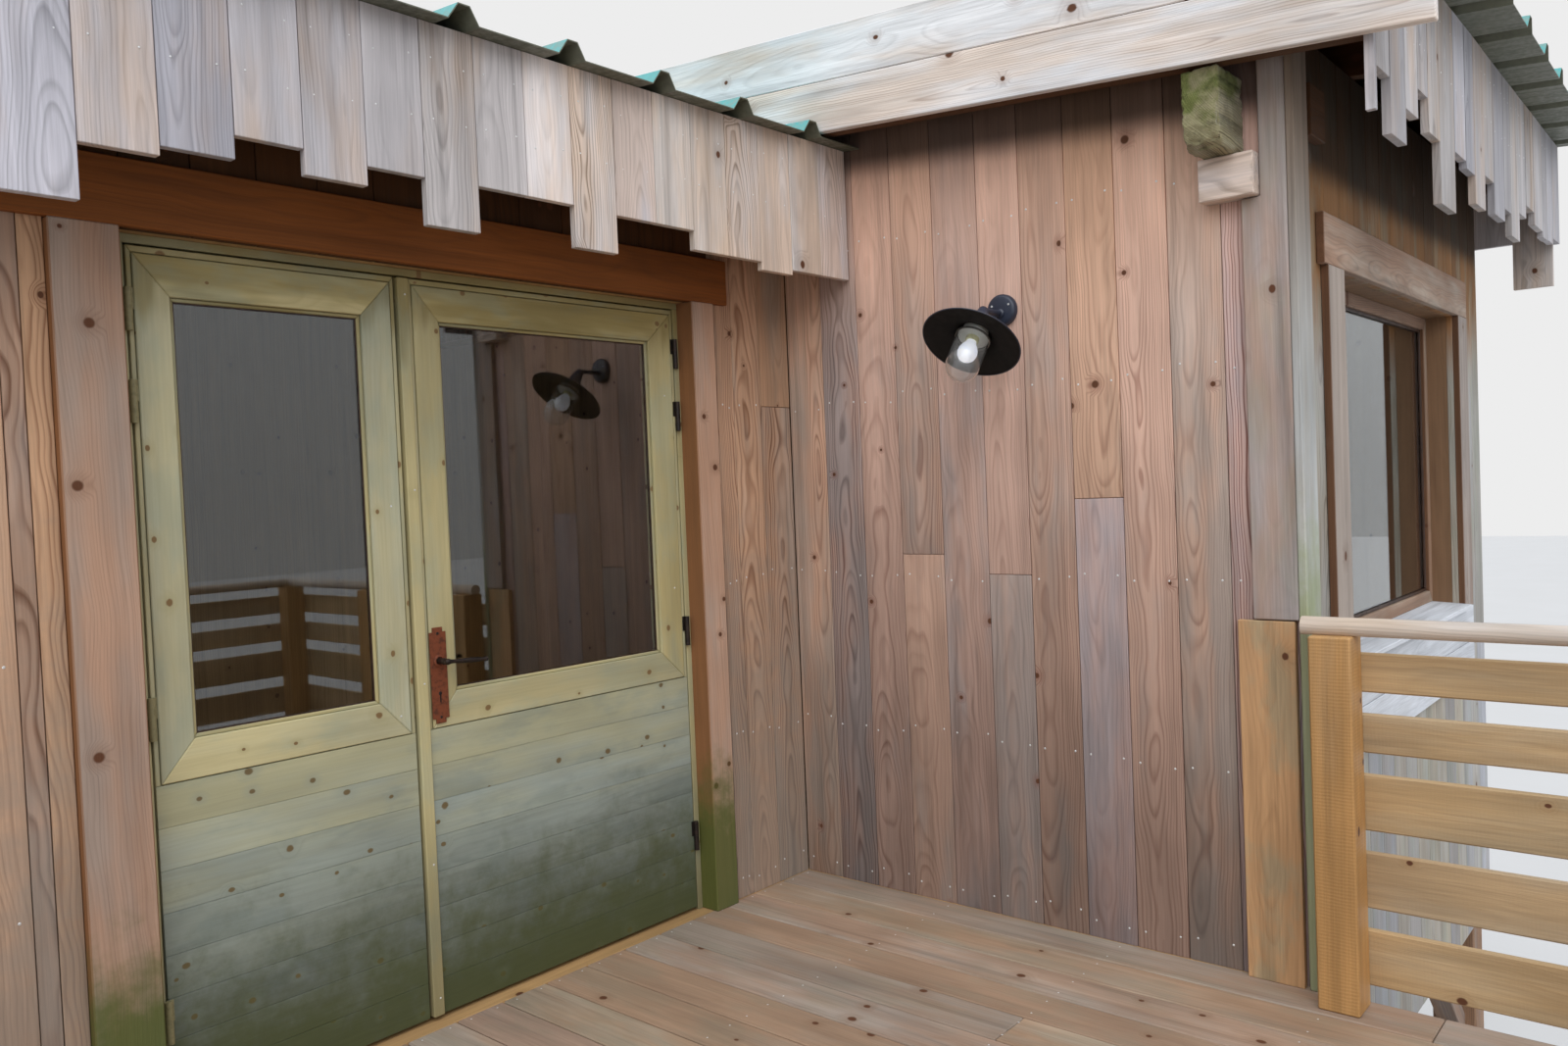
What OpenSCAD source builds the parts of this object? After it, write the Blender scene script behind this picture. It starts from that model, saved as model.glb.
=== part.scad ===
// Timber tree house on stilts: a main room with a glazed double door onto a
// railed deck, and a wing with a picture window that stands forward of it.
// Local zero is the inner corner of the two walls at deck level.

/* [Deck] */
// Height of the deck boards above the ground
deck_h = 2200; // [1200:50:4000]
// Length of the deck and of the main room
deck_w = 3700; // [3000:50:5000]
// Depth of the deck in front of the door wall
deck_d = 3600; // [2800:50:5000]
// Thickness of the deck and floor boards
board_t = 28; // [18:1:40]
// Width of a joist
joist_w = 45; // [35:5:75]
// Depth of a joist
joist_h = 170; // [120:5:220]
// Distance from joist to joist
joist_pitch = 600; // [300:50:800]
// Width of a bearer
bearer_w = 100; // [75:5:150]
// Depth of a bearer
bearer_h = 225; // [150:5:300]
// Side of a stilt
stilt_s = 160; // [120:10:250]
// Gap between the outer stilts and the cladding that hangs past them
stilt_clear = 8; // [2:1:100]
// Side of a knee brace
brace_s = 80; // [60:5:100]
// Reach of a knee brace along the bearer
brace_reach = 600; // [400:50:800]

/* [Rooms] */
// Depth of the main room
main_d = 2500; // [2000:50:4000]
// Width of the wing
wing_w = 2395; // [2250:5:3500]
// How far the wing stands forward of the door wall
wing_reach = 1735; // [1500:5:2600]
// Thickness of the walls
wall_t = 150; // [120:5:200]
// Thickness of the cladding and of the cover boards
clad_t = 22; // [16:1:30]
// How far the cladding hangs below the floor
skirt_drop = 485; // [430:5:700]
// Height of the wide passage between the rooms
passage_h = 2150; // [1900:10:2200]

/* [Roof] */
// Pitch of both roofs
roof_pitch = 4.9; // [3:0.1:8]
// Height of the main eave above the deck
main_eave = 2512; // [2450:2:2600]
// Height of the wing eave above the deck
wing_eave = 2681; // [2670:2:2800]
// Overhang of the main sheet at the eave
main_over = 355; // [320:5:450]
// Overhang of the wing sheet at the eave
wing_over = 395; // [300:5:450]
// Overhang at the back
back_over = 200; // [100:10:300]
// Overhang at the left end
left_over = 200; // [100:10:300]
// Overhang at the far side of the wing
far_over = 375; // [120:5:450]
// Overhang of the wing rake above the main roof
rake_over = 205; // [180:5:230]
// Depth of a rafter
rafter_h = 145; // [100:5:180]
// Width of a rafter
rafter_w = 45; // [35:5:75]
// Distance from rafter to rafter
rafter_pitch = 600; // [400:50:800]
// Thickness of the roof boards
roof_board_t = 30; // [20:1:40]
// Thickness of the steel sheet
sheet_t = 3; // [2:0.5:4]
// Distance from rib to rib of the sheet
rib_pitch = 325; // [200:5:400]
// Height of a rib
rib_h = 40; // [25:1:50]
// Width of a rib at its foot
rib_foot = 84; // [60:2:110]
// Width of a rib at its crown
rib_crown = 30; // [20:2:50]
// Distance from the inner corner to the crown of the last main rib
rib_start = 250; // [220:5:300]

/* [Fascia and fringe] */
// Height of the lower fascia board
fascia_low = 160; // [120:2:180]
// Height of the upper fascia board
fascia_high = 170; // [120:2:180]
// Joint between the two fascia boards
fascia_joint = 2; // [1:1:6]
// Thickness of a fascia board
fascia_t = 27; // [20:1:40]
// How far the fascia stands above the sheet
fascia_rise = 28; // [10:1:38]
// Distance of the main fringe from the door wall
main_fringe_out = 295; // [250:5:310]
// Distance of the wing fringe from the window wall
wing_fringe_out = 250; // [200:5:280]
// Thickness of a fringe board
fringe_t = 22; // [16:1:30]
// Pitch of the fringe boards on the main roof
fringe_pitch = 148; // [120:1:170]
// Mean width of the fringe boards on the wing, with their gap
wing_fringe_pitch = 153; // [120:1:170]
// Gap between two fringe boards
fringe_gap = 2; // [1:1:6]
// Gap between two fringe boards of the wing
wing_fringe_gap = 7; // [2:1:12]
// Width of the batten that ends the wing fringe at the rake
fringe_batten_w = 20; // [15:1:40]
// How far the batten hangs below the sheet
fringe_batten_drop = 475; // [380:5:560]
// Distance of the back fringe from the edge of the sheets
back_fringe_in = 60; // [30:5:120]
// Gap between the end of the main roof and the wing
roof_end_gap = 3; // [2:1:8]

/* [Door] */
// Inner face of the right door post from the inner corner
door_right = 497; // [450:1:560]
// Width of the doorway between its posts
door_w = 1713; // [1600:1:1800]
// Height of the doorway under its lintel
door_h = 2004; // [1990:1:2060]
// Width of the left door post
post_l_w = 138; // [100:1:160]
// Width of the right door post
post_r_w = 102; // [80:1:130]
// Height of the lintel board
lintel_h = 146; // [120:1:170]
// How far the lintel passes the posts
lintel_pass = 135; // [60:5:200]
// Recess of the door face behind the wall face
door_recess = 48; // [40:1:60]
// Thickness of a door leaf
leaf_t = 45; // [40:1:50]
// Width of the left jamb of the door frame
jamb_l = 29; // [20:1:45]
// Width of the right jamb of the door frame
jamb_r = 21; // [16:1:40]
// Height of the head of the door frame
frame_head = 20; // [15:1:40]
// Clearance round a door leaf
leaf_gap = 5; // [5:0.5:8]
// Clearance between the two leaves
meeting_gap = 8; // [7:0.5:12]
// Clearance under a door leaf
leaf_foot = 12; // [8:1:20]
// Width of the right leaf with its meeting strip
leaf_r_w = 996; // [950:1:1040]
// Width of the meeting strip
strip_w = 33; // [25:1:40]
// How far the meeting strip stands proud
strip_proud = 8; // [4:1:12]
// Height of the lower edge of the glass above the deck
glass_low = 871; // [800:1:950]
// Height of the glass
glass_h = 1001; // [900:1:1010]
// Width of the left glass
glass_l_w = 465; // [400:1:470]
// Width of the right glass
glass_r_w = 766; // [700:1:780]
// Width of the hinge stile of the left leaf
stile_l = 88; // [70:1:100]
// Width of the hinge stile of the right leaf
stile_r = 109; // [80:1:120]
// Width of the lip round the raised sash
lip_w = 10; // [8:1:14]
// Width of the lip above the raised sash
lip_top = 14; // [8:1:20]
// Width of the groove between lip and sash
groove_w = 2.5; // [1.5:0.5:4]
// Depth of the grooves in a leaf
groove_d = 3; // [1:0.5:4]
// How far the sash stands proud of the leaf
sash_proud = 1.5; // [0.5:0.5:2.5]
// Height of the lower edge of the sash above the deck
sash_low = 780; // [740:5:790]
// Open line of the sash's mitred corners
mitre_gap = 0.6; // [0.3:0.1:1]
// Height of one board below the sash
leaf_board = 96; // [70:1:140]
// Width of the joint between two boards of a leaf
leaf_joint = 2; // [1:0.5:4]
// Width of the glazing beads
bead_w = 9; // [6:1:12]
// Depth of the glazing beads in front of and behind the glass
bead_d = 7; // [5:1:10]
// Thickness of the door glass
pane_t = 6; // [4:1:12]
// Depth of the door glass behind the face of its leaf
pane_set = 14; // [6:1:24]

/* [Door furniture] */
// Width of the lock plate
plate_w = 50; // [36:1:60]
// Height of the lock plate
plate_h = 258; // [200:2:300]
// Thickness of the lock plate
plate_t = 4; // [2:0.5:6]
// Height of the spindle above the deck
spindle_z = 960; // [900:5:1000]
// Height of the spindle above the foot of the lock plate
plate_below = 168; // [120:2:200]
// Distance from the lock plate's centre to the edge of the strip
backset = 35; // [32:1:45]
// Radius of the spindle
spindle_r = 8; // [6:0.5:10]
// Length of the lever from the spindle
lever_l = 126; // [90:2:140]
// Distance of the lever from the face of the leaf
lever_out = 46; // [36:1:60]
// Radius of the lever's grip
lever_r = 7; // [5:0.5:9]
// Radius of a hinge barrel
barrel_r = 8; // [6:0.5:9]
// Radius of a hinge pin
pin_r = 4; // [3:0.5:5]
// Running clearance of the pins
pin_gap = 0.1; // [0.05:0.05:0.3]
// Height of a hinge
hinge_h = 95; // [70:1:120]
// Width of a hinge plate on the leaf
hinge_plate = 13; // [10:0.5:14]
// Width of a hinge plate on the frame
frame_plate = 15; // [10:0.5:18]
// Thickness of a hinge plate
hinge_t = 3; // [2:0.5:4]

/* [Window] */
// Distance of the window from the outer corner
win_x = 400; // [330:5:500]
// Width of the window opening
win_w = 1520; // [1200:5:1560]
// Height of the window sill above the deck
win_z = 835; // [760:5:900]
// Height of the window opening
win_h = 1105; // [900:5:1150]
// Width of the casing boards
casing_w = 150; // [110:1:160]
// Height of the header board
header_h = 140; // [110:1:160]
// How far the header passes the casing boards
header_pass = 35; // [10:5:60]
// Width of the window frame
sash_w = 45; // [30:1:60]
// Depth of the window frame
sash_d = 50; // [40:1:70]
// Recess of the window frame behind the wall face
sash_set = 90; // [60:1:95]
// Thickness of the window glass
win_glass_t = 8; // [4:1:24]
// Height of one apron board below the sill
apron_h = 138; // [100:1:160]
// How far the sill stands out
sill_out = 45; // [30:1:70]
// Thickness of the sill
sill_t = 24; // [18:1:40]

/* [Corner and beam] */
// Width of the upper corner board
corner_w = 118; // [90:1:140]
// Width of the lower corner board
corner_low_w = 148; // [120:1:170]
// Height of the cut between the corner boards
corner_cut = 977; // [900:1:1050]
// Width of the corner board on the window side
corner_side_w = 95; // [60:1:140]
// Distance of the lower corner board from the outer corner
corner_low_in = 12; // [4:1:20]
// Width of the short board under the wing's eave
eave_board_w = 127; // [90:1:160]
// Height of the short board under the wing's eave
eave_board_h = 138; // [100:1:150]
// Thickness of the short board under the wing's eave
eave_board_t = 30; // [18:1:40]
// Height of its foot above the deck
eave_board_z = 2261; // [2240:1:2320]
// Height of the cut on the underside of the beam end
beam_cut = 60; // [30:1:90]
// Width of the beam end
beam_w = 100; // [80:1:130]
// Height of the beam end under the fascia
beam_h = 204; // [120:2:240]
// Distance of the beam end from the outer corner
beam_in = 111; // [60:1:150]
// How far the block passes the beam end towards the corner
block_pass = 40; // [0:2:60]
// Height of the block under the beam end
block_h = 113; // [80:1:130]
// Width of the block under the beam end
block_w = 146; // [110:1:160]
// Thickness of the block under the beam end
block_t = 60; // [40:1:80]

/* [Lamp] */
// Distance of the lamp from the inner corner
lamp_y = 881; // [700:1:1100]
// Height of the lamp's wall plate
lamp_z = 1903; // [1800:1:2000]
// Radius of the wall plate
lamp_plate_r = 49; // [40:1:60]
// Thickness of the wall plate
lamp_plate_t = 22; // [12:1:30]
// Distance of the shade's rim centre from the wall
shade_out = 198; // [170:1:230]
// Drop of the shade's rim centre below the wall plate
shade_drop = 113; // [90:1:130]
// Tilt of the shade
shade_tilt = 37; // [25:1:40]
// Radius of the shade
shade_r = 150; // [110:1:160]
// Depth of the shade
shade_depth = 56; // [40:1:70]
// Thickness of the shade
shade_t = 2; // [1.5:0.5:3]
// Radius of the shade's neck
neck_r = 56; // [54:1:62]
// Drop of the arm below the wall plate's centre
arm_drop = 10; // [0:1:20]
// Radius of the lamp glass
dome_r = 51; // [40:1:53]
// Length of the lamp glass below the rim
dome_l = 136; // [100:1:150]
// Thickness of the lamp glass
dome_t = 3; // [2:0.5:4]
// Radius of the bulb
bulb_r = 29; // [20:1:34]
// Radius of the lamp arm
arm_r = 9; // [7:0.5:12]

/* [Railing] */
// Side of a railing post
rail_post = 100; // [80:1:120]
// Height of a railing post
rail_post_h = 955; // [940:5:1050]
// Thickness of a railing board
rail_t = 20; // [16:1:28]
// Height of a wide railing board
rail_wide = 145; // [120:1:150]
// Height of a narrow railing board
rail_narrow = 100; // [80:1:105]
// Gap between two railing boards
rail_gap = 55; // [30:1:56]
// Gap below the lowest railing board
rail_foot = 50; // [30:1:52]
// Radius of the handrail
handrail_r = 25; // [20:1:30]
// Depth of the handrail's flat below its centre
handrail_flat = 20; // [15:1:24]
// Distance of the first railing post from the wing
rail_start = 26; // [10:1:60]
// Width of the way in through the railing
entry_w = 960; // [800:10:1100]

/* [Hidden] */
$fn = 48;

slope = tan(roof_pitch);
// Joint left between two pieces that are fixed together
seat = 0.3;

// Ends of the whole house in plan
x_left = -deck_w - left_over;
x_far = wing_w + far_over;
y_front = -deck_d;
y_back = main_d + back_over;
mid_x = (x_left + x_far) / 2;
mid_y = (y_front + y_back) / 2;

// Underside of the sheets over a line y
main_edge = -main_over;
wing_edge = -wing_reach - wing_over;
function main_pan(y) = main_eave + (y - main_edge) * slope;
function wing_pan(y) = wing_eave + (y - wing_edge) * slope;
roof_build = roof_board_t + rafter_h;
function main_under(y) = main_pan(y) - roof_build;
function main_head(y) = main_under(y) - seat;
function wing_under(y) = wing_pan(y) - roof_build;
function wing_head(y) = wing_under(y) - seat;

// Door plan
door_left = -door_right - door_w;
leaf_y = door_recess;
leaf_top = door_h - frame_head - leaf_gap;
leaf_h = leaf_top - leaf_foot;
right_leaf_x1 = -door_right - jamb_r - leaf_gap;
right_leaf_x0 = right_leaf_x1 - leaf_r_w;
left_leaf_x0 = door_left + jamb_l + leaf_gap;
left_leaf_x1 = right_leaf_x0 - meeting_gap;
pin_y = leaf_y - barrel_r;
right_pin_x = right_leaf_x1 + leaf_gap / 2;
left_pin_x = left_leaf_x0 - leaf_gap / 2;
hinge_zs = [250, 930, 1634, 1837];
plate_x = right_leaf_x0 + strip_w + backset;
plate_y = leaf_y - sash_proud;

// Lamp axis: the shade opens along this direction
lamp_axis = [-sin(shade_tilt), 0, -cos(shade_tilt)];
rim = [-shade_out, -lamp_y, lamp_z - shade_drop];

module placed() {
    translate([-mid_x, -mid_y, deck_h]) children();
}

// A box from its lowest and highest corners
module block(low, high) {
    translate(low) cube([high[0] - low[0], high[1] - low[1], high[2] - low[2]]);
}

// An outline in the y-z plane drawn out along x
module along_x(x0, x1, outline) {
    translate([x0, 0, 0]) rotate([90, 0, 90]) linear_extrude(x1 - x0) polygon(outline);
}

// An outline in the x-z plane drawn out along y
module along_y(y0, y1, outline) {
    translate([0, y1, 0]) rotate([90, 0, 0]) linear_extrude(y1 - y0) polygon(outline);
}

bearer_top = -board_t - joist_h;
bearer_foot = bearer_top - bearer_h;
stilt_inset = clad_t + stilt_clear + stilt_s / 2;
bearer_rows = [-deck_d + stilt_inset, -wing_reach + stilt_inset, wall_t / 2, main_d - stilt_inset];
function row_end(i) = i == 0 ? 0 : wing_w - clad_t;
stilt_xs = [-deck_w + stilt_inset, -deck_w / 2, -stilt_inset];
function row_stilts(i) = i == 0 ? stilt_xs : concat(stilt_xs, [wing_w - stilt_inset]);

module stilts() {
    color("peru") placed()
    for (i = [0:3], x = row_stilts(i))
        block([x - stilt_s / 2, bearer_rows[i] - stilt_s / 2, -deck_h],
            [x + stilt_s / 2, bearer_rows[i] + stilt_s / 2, bearer_foot]);
}

// Knee brace on one side of a stilt, under a bearer
module knee_brace(x, y, side) {
    slant = brace_s * sqrt(2);
    face = x + side * (stilt_s / 2 + seat);
    top = bearer_foot - seat;
    along_y(y - brace_s / 2, y + brace_s / 2, [
        [face, top - brace_reach],
        [face + side * brace_reach, top],
        [face + side * (brace_reach - slant), top],
        [face, top - brace_reach + slant]]);
}

module bearers() {
    color("burlywood") placed()
    for (i = [0:3])
        block([-deck_w + clad_t, bearer_rows[i] - bearer_w / 2, bearer_foot],
            [row_end(i), bearer_rows[i] + bearer_w / 2, bearer_top]);
}

module knee_braces() {
    color("burlywood") placed()
    for (i = [0:3]) {
        xs = row_stilts(i);
        for (k = [0:len(xs) - 1]) {
            if (k > 0) knee_brace(xs[k], bearer_rows[i], -1);
            if (k < len(xs) - 1) knee_brace(xs[k], bearer_rows[i], 1);
        }
    }
}

// Joists and rim of one rectangular bay of the platform
module joist_bay(x0, x1, y0, y1) {
    bays = round((x1 - x0) / joist_pitch);
    step = (x1 - x0 - joist_w) / bays;
    for (i = [0:bays])
        block([x0 + i * step, y0 + joist_w + seat, bearer_top],
            [x0 + i * step + joist_w, y1 - joist_w - seat, -board_t]);
    for (y = [y0, y1 - joist_w])
        block([x0, y, bearer_top], [x1, y + joist_w, -board_t]);
}

module joists() {
    color("burlywood") placed() {
        joist_bay(-deck_w, -seat, -deck_d, -seat);
        joist_bay(-deck_w + clad_t, -seat, 0, main_d - clad_t);
        joist_bay(0, wing_w - clad_t, -wing_reach + clad_t, main_d - clad_t);
    }
}

module deck_floor() {
    color("tan") placed() block([-deck_w, -deck_d, -board_t], [0, 0, 0]);
}

module room_floor() {
    color("wheat") placed() {
        block([-deck_w + clad_t, 0, -board_t], [-seat, main_d - clad_t, 0]);
        block([0, -wing_reach + clad_t, -board_t], [wing_w - clad_t, main_d - clad_t, 0]);
    }
}

post_l_x0 = door_left - post_l_w;
post_r_x1 = -door_right + post_r_w;

module door_wall() {
    side = [[0, 0], [wall_t, 0], [wall_t, main_head(wall_t)], [0, main_head(0)]];
    color("sandybrown") placed() {
        along_x(-deck_w, post_l_x0, side);
        along_x(post_r_x1, 0, side);
    }
}

module door_wall_head() {
    color("sandybrown") placed() along_x(post_l_x0, post_r_x1, [
        [0, door_h], [wall_t, door_h], [wall_t, main_head(wall_t)], [0, main_head(0)]]);
}

module left_end_wall() {
    y1 = main_d - wall_t;
    color("sandybrown") placed() {
        along_x(-deck_w, -deck_w + wall_t, [
            [wall_t, 0], [y1, 0], [y1, main_head(y1)], [wall_t, main_head(wall_t)]]);
        block([-deck_w, wall_t, -skirt_drop], [-deck_w + clad_t, y1, 0]);
    }
}

module back_wall() {
    y0 = main_d - wall_t;
    ys = main_d - clad_t;
    color("sandybrown") placed() {
        along_x(-deck_w, 0, [[y0, 0], [ys, 0], [ys, -skirt_drop], [main_d, -skirt_drop],
            [main_d, main_head(main_d)], [y0, main_head(y0)]]);
        along_x(0, wing_w, [[y0, 0], [ys, 0], [ys, -skirt_drop], [main_d, -skirt_drop],
            [main_d, wing_head(main_d)], [y0, wing_head(y0)]]);
    }
}

// Wall beside the deck, carried on over the passage between the rooms
module lamp_wall() {
    y1 = main_d - wall_t;
    color("sandybrown") placed() {
        along_x(0, wall_t, [[-wing_reach, 0], [0, 0], [0, wing_head(0)],
            [-wing_reach, wing_head(-wing_reach)]]);
        along_x(0, wall_t, [[seat, passage_h], [y1, passage_h],
            [y1, wing_head(y1)], [seat, wing_head(seat)]]);
    }
}

module window_wall() {
    y0 = -wing_reach;
    y1 = -wing_reach + wall_t;
    color("sandybrown") placed() difference() {
        along_x(wall_t, wing_w, [[y0, -skirt_drop], [y0 + clad_t, -skirt_drop],
            [y0 + clad_t, 0], [y1, 0], [y1, wing_head(y1)], [y0, wing_head(y0)]]);
        block([win_x, y0 - 1, win_z - sill_t], [win_x + win_w, y1 + 1, win_z + win_h]);
    }
}

module far_end_wall() {
    y0 = -wing_reach + wall_t;
    y1 = main_d - wall_t;
    color("sandybrown") placed() {
        along_x(wing_w - wall_t, wing_w, [
            [y0, 0], [y1, 0], [y1, wing_head(y1)], [y0, wing_head(y0)]]);
        block([wing_w - clad_t, y0, -skirt_drop], [wing_w, y1, 0]);
    }
}

module door_lintel() {
    color("chocolate") placed() block([post_l_x0 - lintel_pass, -clad_t, door_h],
        [post_r_x1 + lintel_pass / 2, 0, door_h + lintel_h]);
}

module door_posts() {
    color("peru") placed() {
        block([post_l_x0, -clad_t, 0], [door_left, wall_t, door_h]);
        block([-door_right, -clad_t, 0], [post_r_x1, wall_t, door_h]);
    }
}

module door_frame() {
    y1 = wall_t - 10;
    color("darkkhaki") placed() {
        low = door_h - frame_head;
        block([door_left, leaf_y, 0], [door_left + jamb_l, y1, low - seat]);
        block([-door_right - jamb_r, leaf_y, 0], [-door_right, y1, low - seat]);
        block([door_left, leaf_y, low], [-door_right, y1, door_h]);
    }
}

// Four mitred members of a frame, given by its outer and inner edges
module mitred(outer, inner, y0, y1) {
    x0 = outer[0];
    z0 = outer[1];
    x1 = outer[2];
    z1 = outer[3];
    a0 = inner[0];
    c0 = inner[1];
    a1 = inner[2];
    c1 = inner[3];
    g = mitre_gap / 2;
    along_y(y0, y1, [[x0, z0 + g], [a0, c0 + g], [a0, c1 - g], [x0, z1 - g]]);
    along_y(y0, y1, [[x1, z0 + g], [a1, c0 + g], [a1, c1 - g], [x1, z1 - g]]);
    along_y(y0, y1, [[x0 + g, z0], [x1 - g, z0], [a1 - g, c0], [a0 + g, c0]]);
    along_y(y0, y1, [[x0 + g, z1], [x1 - g, z1], [a1 - g, c1], [a0 + g, c1]]);
}

function inset(box, side, top) = [box[0] + side, box[1], box[2] - side, box[3] - top];

// Joints between the boards below the sash, on one face
module board_joints(x0, x1, y) {
    count = round((sash_low - leaf_foot) / leaf_board);
    step = (sash_low - leaf_foot) / count;
    for (i = [1:count - 1])
        block([x0 - 1, y - groove_d, leaf_foot + i * step - leaf_joint / 2],
            [x1 + 1, y + groove_d, leaf_foot + i * step + leaf_joint / 2]);
}

// A door leaf: a raised mitred sash with a groove and a lip round it, boards below,
// and beads that hold the glass in its opening
module leaf(x0, x1, glass_x, glass_w) {
    y1 = leaf_y + leaf_t;
    whole = [x0, sash_low, x1, leaf_top];
    sash = inset(whole, lip_w + groove_w, lip_top + groove_w);
    glass = [glass_x, glass_low, glass_x + glass_w, glass_low + glass_h];
    pane_y0 = leaf_y + pane_set - seat;
    pane_y1 = leaf_y + pane_set + pane_t + seat;
    difference() {
        block([x0, leaf_y, leaf_foot], [x1, y1, leaf_top]);
        block([glass[0], leaf_y - 1, glass[1]], [glass[2], y1 + 1, glass[3]]);
        for (y = [leaf_y, y1]) {
            ring_x = lip_w + groove_w;
            block([x0 + lip_w, y - groove_d, sash_low], [x0 + ring_x, y + groove_d, sash[3]]);
            block([x1 - ring_x, y - groove_d, sash_low], [x1 - lip_w, y + groove_d, sash[3]]);
            block([x0 + lip_w, y - groove_d, sash[3]], [x1 - lip_w, y + groove_d, leaf_top - lip_top]);
            block([x0 - 1, y - groove_d, sash_low - groove_w], [x1 + 1, y + groove_d, sash_low]);
            board_joints(x0, x1, y);
        }
    }
    mitred(sash, glass, leaf_y - sash_proud, leaf_y + 0.01);
    mitred(sash, glass, y1 - 0.01, y1 + sash_proud);
    for (span = [[pane_y0 - bead_d, pane_y0], [pane_y1, pane_y1 + bead_d]])
        difference() {
            block([glass[0] - 0.01, span[0], glass[1] - 0.01], [glass[2] + 0.01, span[1], glass[3] + 0.01]);
            block([glass[0] + bead_w, span[0] - 1, glass[1] + bead_w],
                [glass[2] - bead_w, span[1] + 1, glass[3] - bead_w]);
        }
}

module pane(glass_x, glass_w) {
    block([glass_x, leaf_y + pane_set, glass_low],
        [glass_x + glass_w, leaf_y + pane_set + pane_t, glass_low + glass_h]);
}

left_glass_x = left_leaf_x0 + stile_l;
right_glass_x = right_leaf_x1 - stile_r - glass_r_w;

module left_leaf() {
    color("darkkhaki") placed() leaf(left_leaf_x0, left_leaf_x1, left_glass_x, glass_l_w);
}

module left_glass() {
    color("lightblue") placed() pane(left_glass_x, glass_l_w);
}

module right_leaf() {
    color("darkkhaki") placed() {
        leaf(right_leaf_x0 + strip_w, right_leaf_x1, right_glass_x, glass_r_w);
        block([right_leaf_x0, leaf_y - strip_proud, leaf_foot],
            [right_leaf_x0 + strip_w, leaf_y + leaf_t, leaf_top]);
    }
}

module right_glass() {
    color("lightblue") placed() pane(right_glass_x, glass_r_w);
}

// Lock plate with waisted ends and the bore for the spindle
module lock_plate() {
    z0 = spindle_z - plate_below;
    color("saddlebrown") placed() translate([plate_x, plate_y, 0]) rotate([90, 0, 0])
    linear_extrude(plate_t) difference() {
        union() {
            translate([-plate_w / 2, z0 + plate_w / 4])
                square([plate_w, plate_h - plate_w / 2]);
            translate([-plate_w * 0.3, z0]) square([plate_w * 0.6, plate_h]);
        }
        translate([0, spindle_z]) circle(spindle_r + pin_gap);
    }
}

// Lever handle: spindle, collar and a tapered grip
module lever() {
    color("dimgray") placed() translate([plate_x, plate_y, spindle_z]) {
        rotate([90, 0, 0]) translate([0, 0, seat]) cylinder(r = spindle_r, h = lever_out - seat);
        translate([0, -lever_out, 0]) rotate([0, 94, 0]) cylinder(r1 = lever_r, r2 = lever_r * 0.8, h = lever_l);
        translate([0, -lever_out, 0]) sphere(spindle_r);
    }
}

// The knuckle of a leaf: a bored barrel over the upper half of the hinge
module leaf_knuckle(x, z, side) {
    half = hinge_h / 2;
    difference() {
        union() {
            translate([x, pin_y, z + pin_gap]) cylinder(r = barrel_r, h = half);
            block([min(x, x + side * hinge_plate), leaf_y - hinge_t, z + pin_gap],
                [max(x, x + side * hinge_plate), leaf_y, z + half + pin_gap]);
        }
        translate([x, pin_y, z - 1]) cylinder(r = pin_r + pin_gap, h = half - 4);
    }
}

// The knuckle of the frame: a solid barrel with the pin standing on it
module frame_knuckle(x, z, side) {
    half = hinge_h / 2;
    reach = side * frame_plate;
    translate([x, pin_y, z - half]) cylinder(r = barrel_r, h = half);
    translate([x, pin_y, z - half]) cylinder(r = pin_r, h = hinge_h - 8);
    block([min(x, x + reach), leaf_y - hinge_t, z - half],
        [max(x, x + reach), leaf_y, z]);
}

module left_leaf_hinges() {
    color("dimgray") placed() for (z = hinge_zs) leaf_knuckle(left_pin_x, z, 1);
}

module right_leaf_hinges() {
    color("dimgray") placed() for (z = hinge_zs) leaf_knuckle(right_pin_x, z, -1);
}

module frame_hinges() {
    color("dimgray") placed() for (z = hinge_zs) {
        frame_knuckle(left_pin_x, z, -1);
        frame_knuckle(right_pin_x, z, 1);
    }
}

sash_y = -wing_reach + sash_set;

module window_frame() {
    color("peru") placed() difference() {
        block([win_x, sash_y, win_z], [win_x + win_w, sash_y + sash_d, win_z + win_h]);
        block([win_x + sash_w, sash_y - 1, win_z + sash_w],
            [win_x + win_w - sash_w, sash_y + sash_d + 1, win_z + win_h - sash_w]);
    }
}

module window_glass() {
    y = sash_y + (sash_d - win_glass_t) / 2;
    color("lightblue") placed() block([win_x + sash_w, y, win_z + sash_w],
        [win_x + win_w - sash_w, y + win_glass_t, win_z + win_h - sash_w]);
}

module window_casing() {
    y0 = -wing_reach - clad_t;
    top = win_z + win_h;
    low = win_z - sill_t;
    color("sandybrown") placed() {
        block([win_x - casing_w, y0, low], [win_x, -wing_reach, top - seat]);
        block([win_x + win_w, y0, low], [win_x + win_w + casing_w, -wing_reach, top - seat]);
        block([win_x - casing_w - header_pass, y0, top],
            [win_x + win_w + casing_w, -wing_reach, top + header_h]);
    }
}

module window_sill() {
    y0 = -wing_reach - clad_t;
    top = win_z - sill_t;
    left = win_x - casing_w;
    right = win_x + win_w + casing_w;
    color("gainsboro") placed() {
        along_x(win_x, win_x + win_w, [[sash_y, win_z], [-wing_reach - sill_out, win_z - 8],
            [-wing_reach - sill_out, top], [-wing_reach + wall_t, top], [-wing_reach + wall_t, win_z]]);
        block([left, y0, top - apron_h], [right, -wing_reach, top - 1]);
        block([left, y0, top - 2 * apron_h], [right, -wing_reach, top - apron_h - 2]);
    }
}

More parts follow.
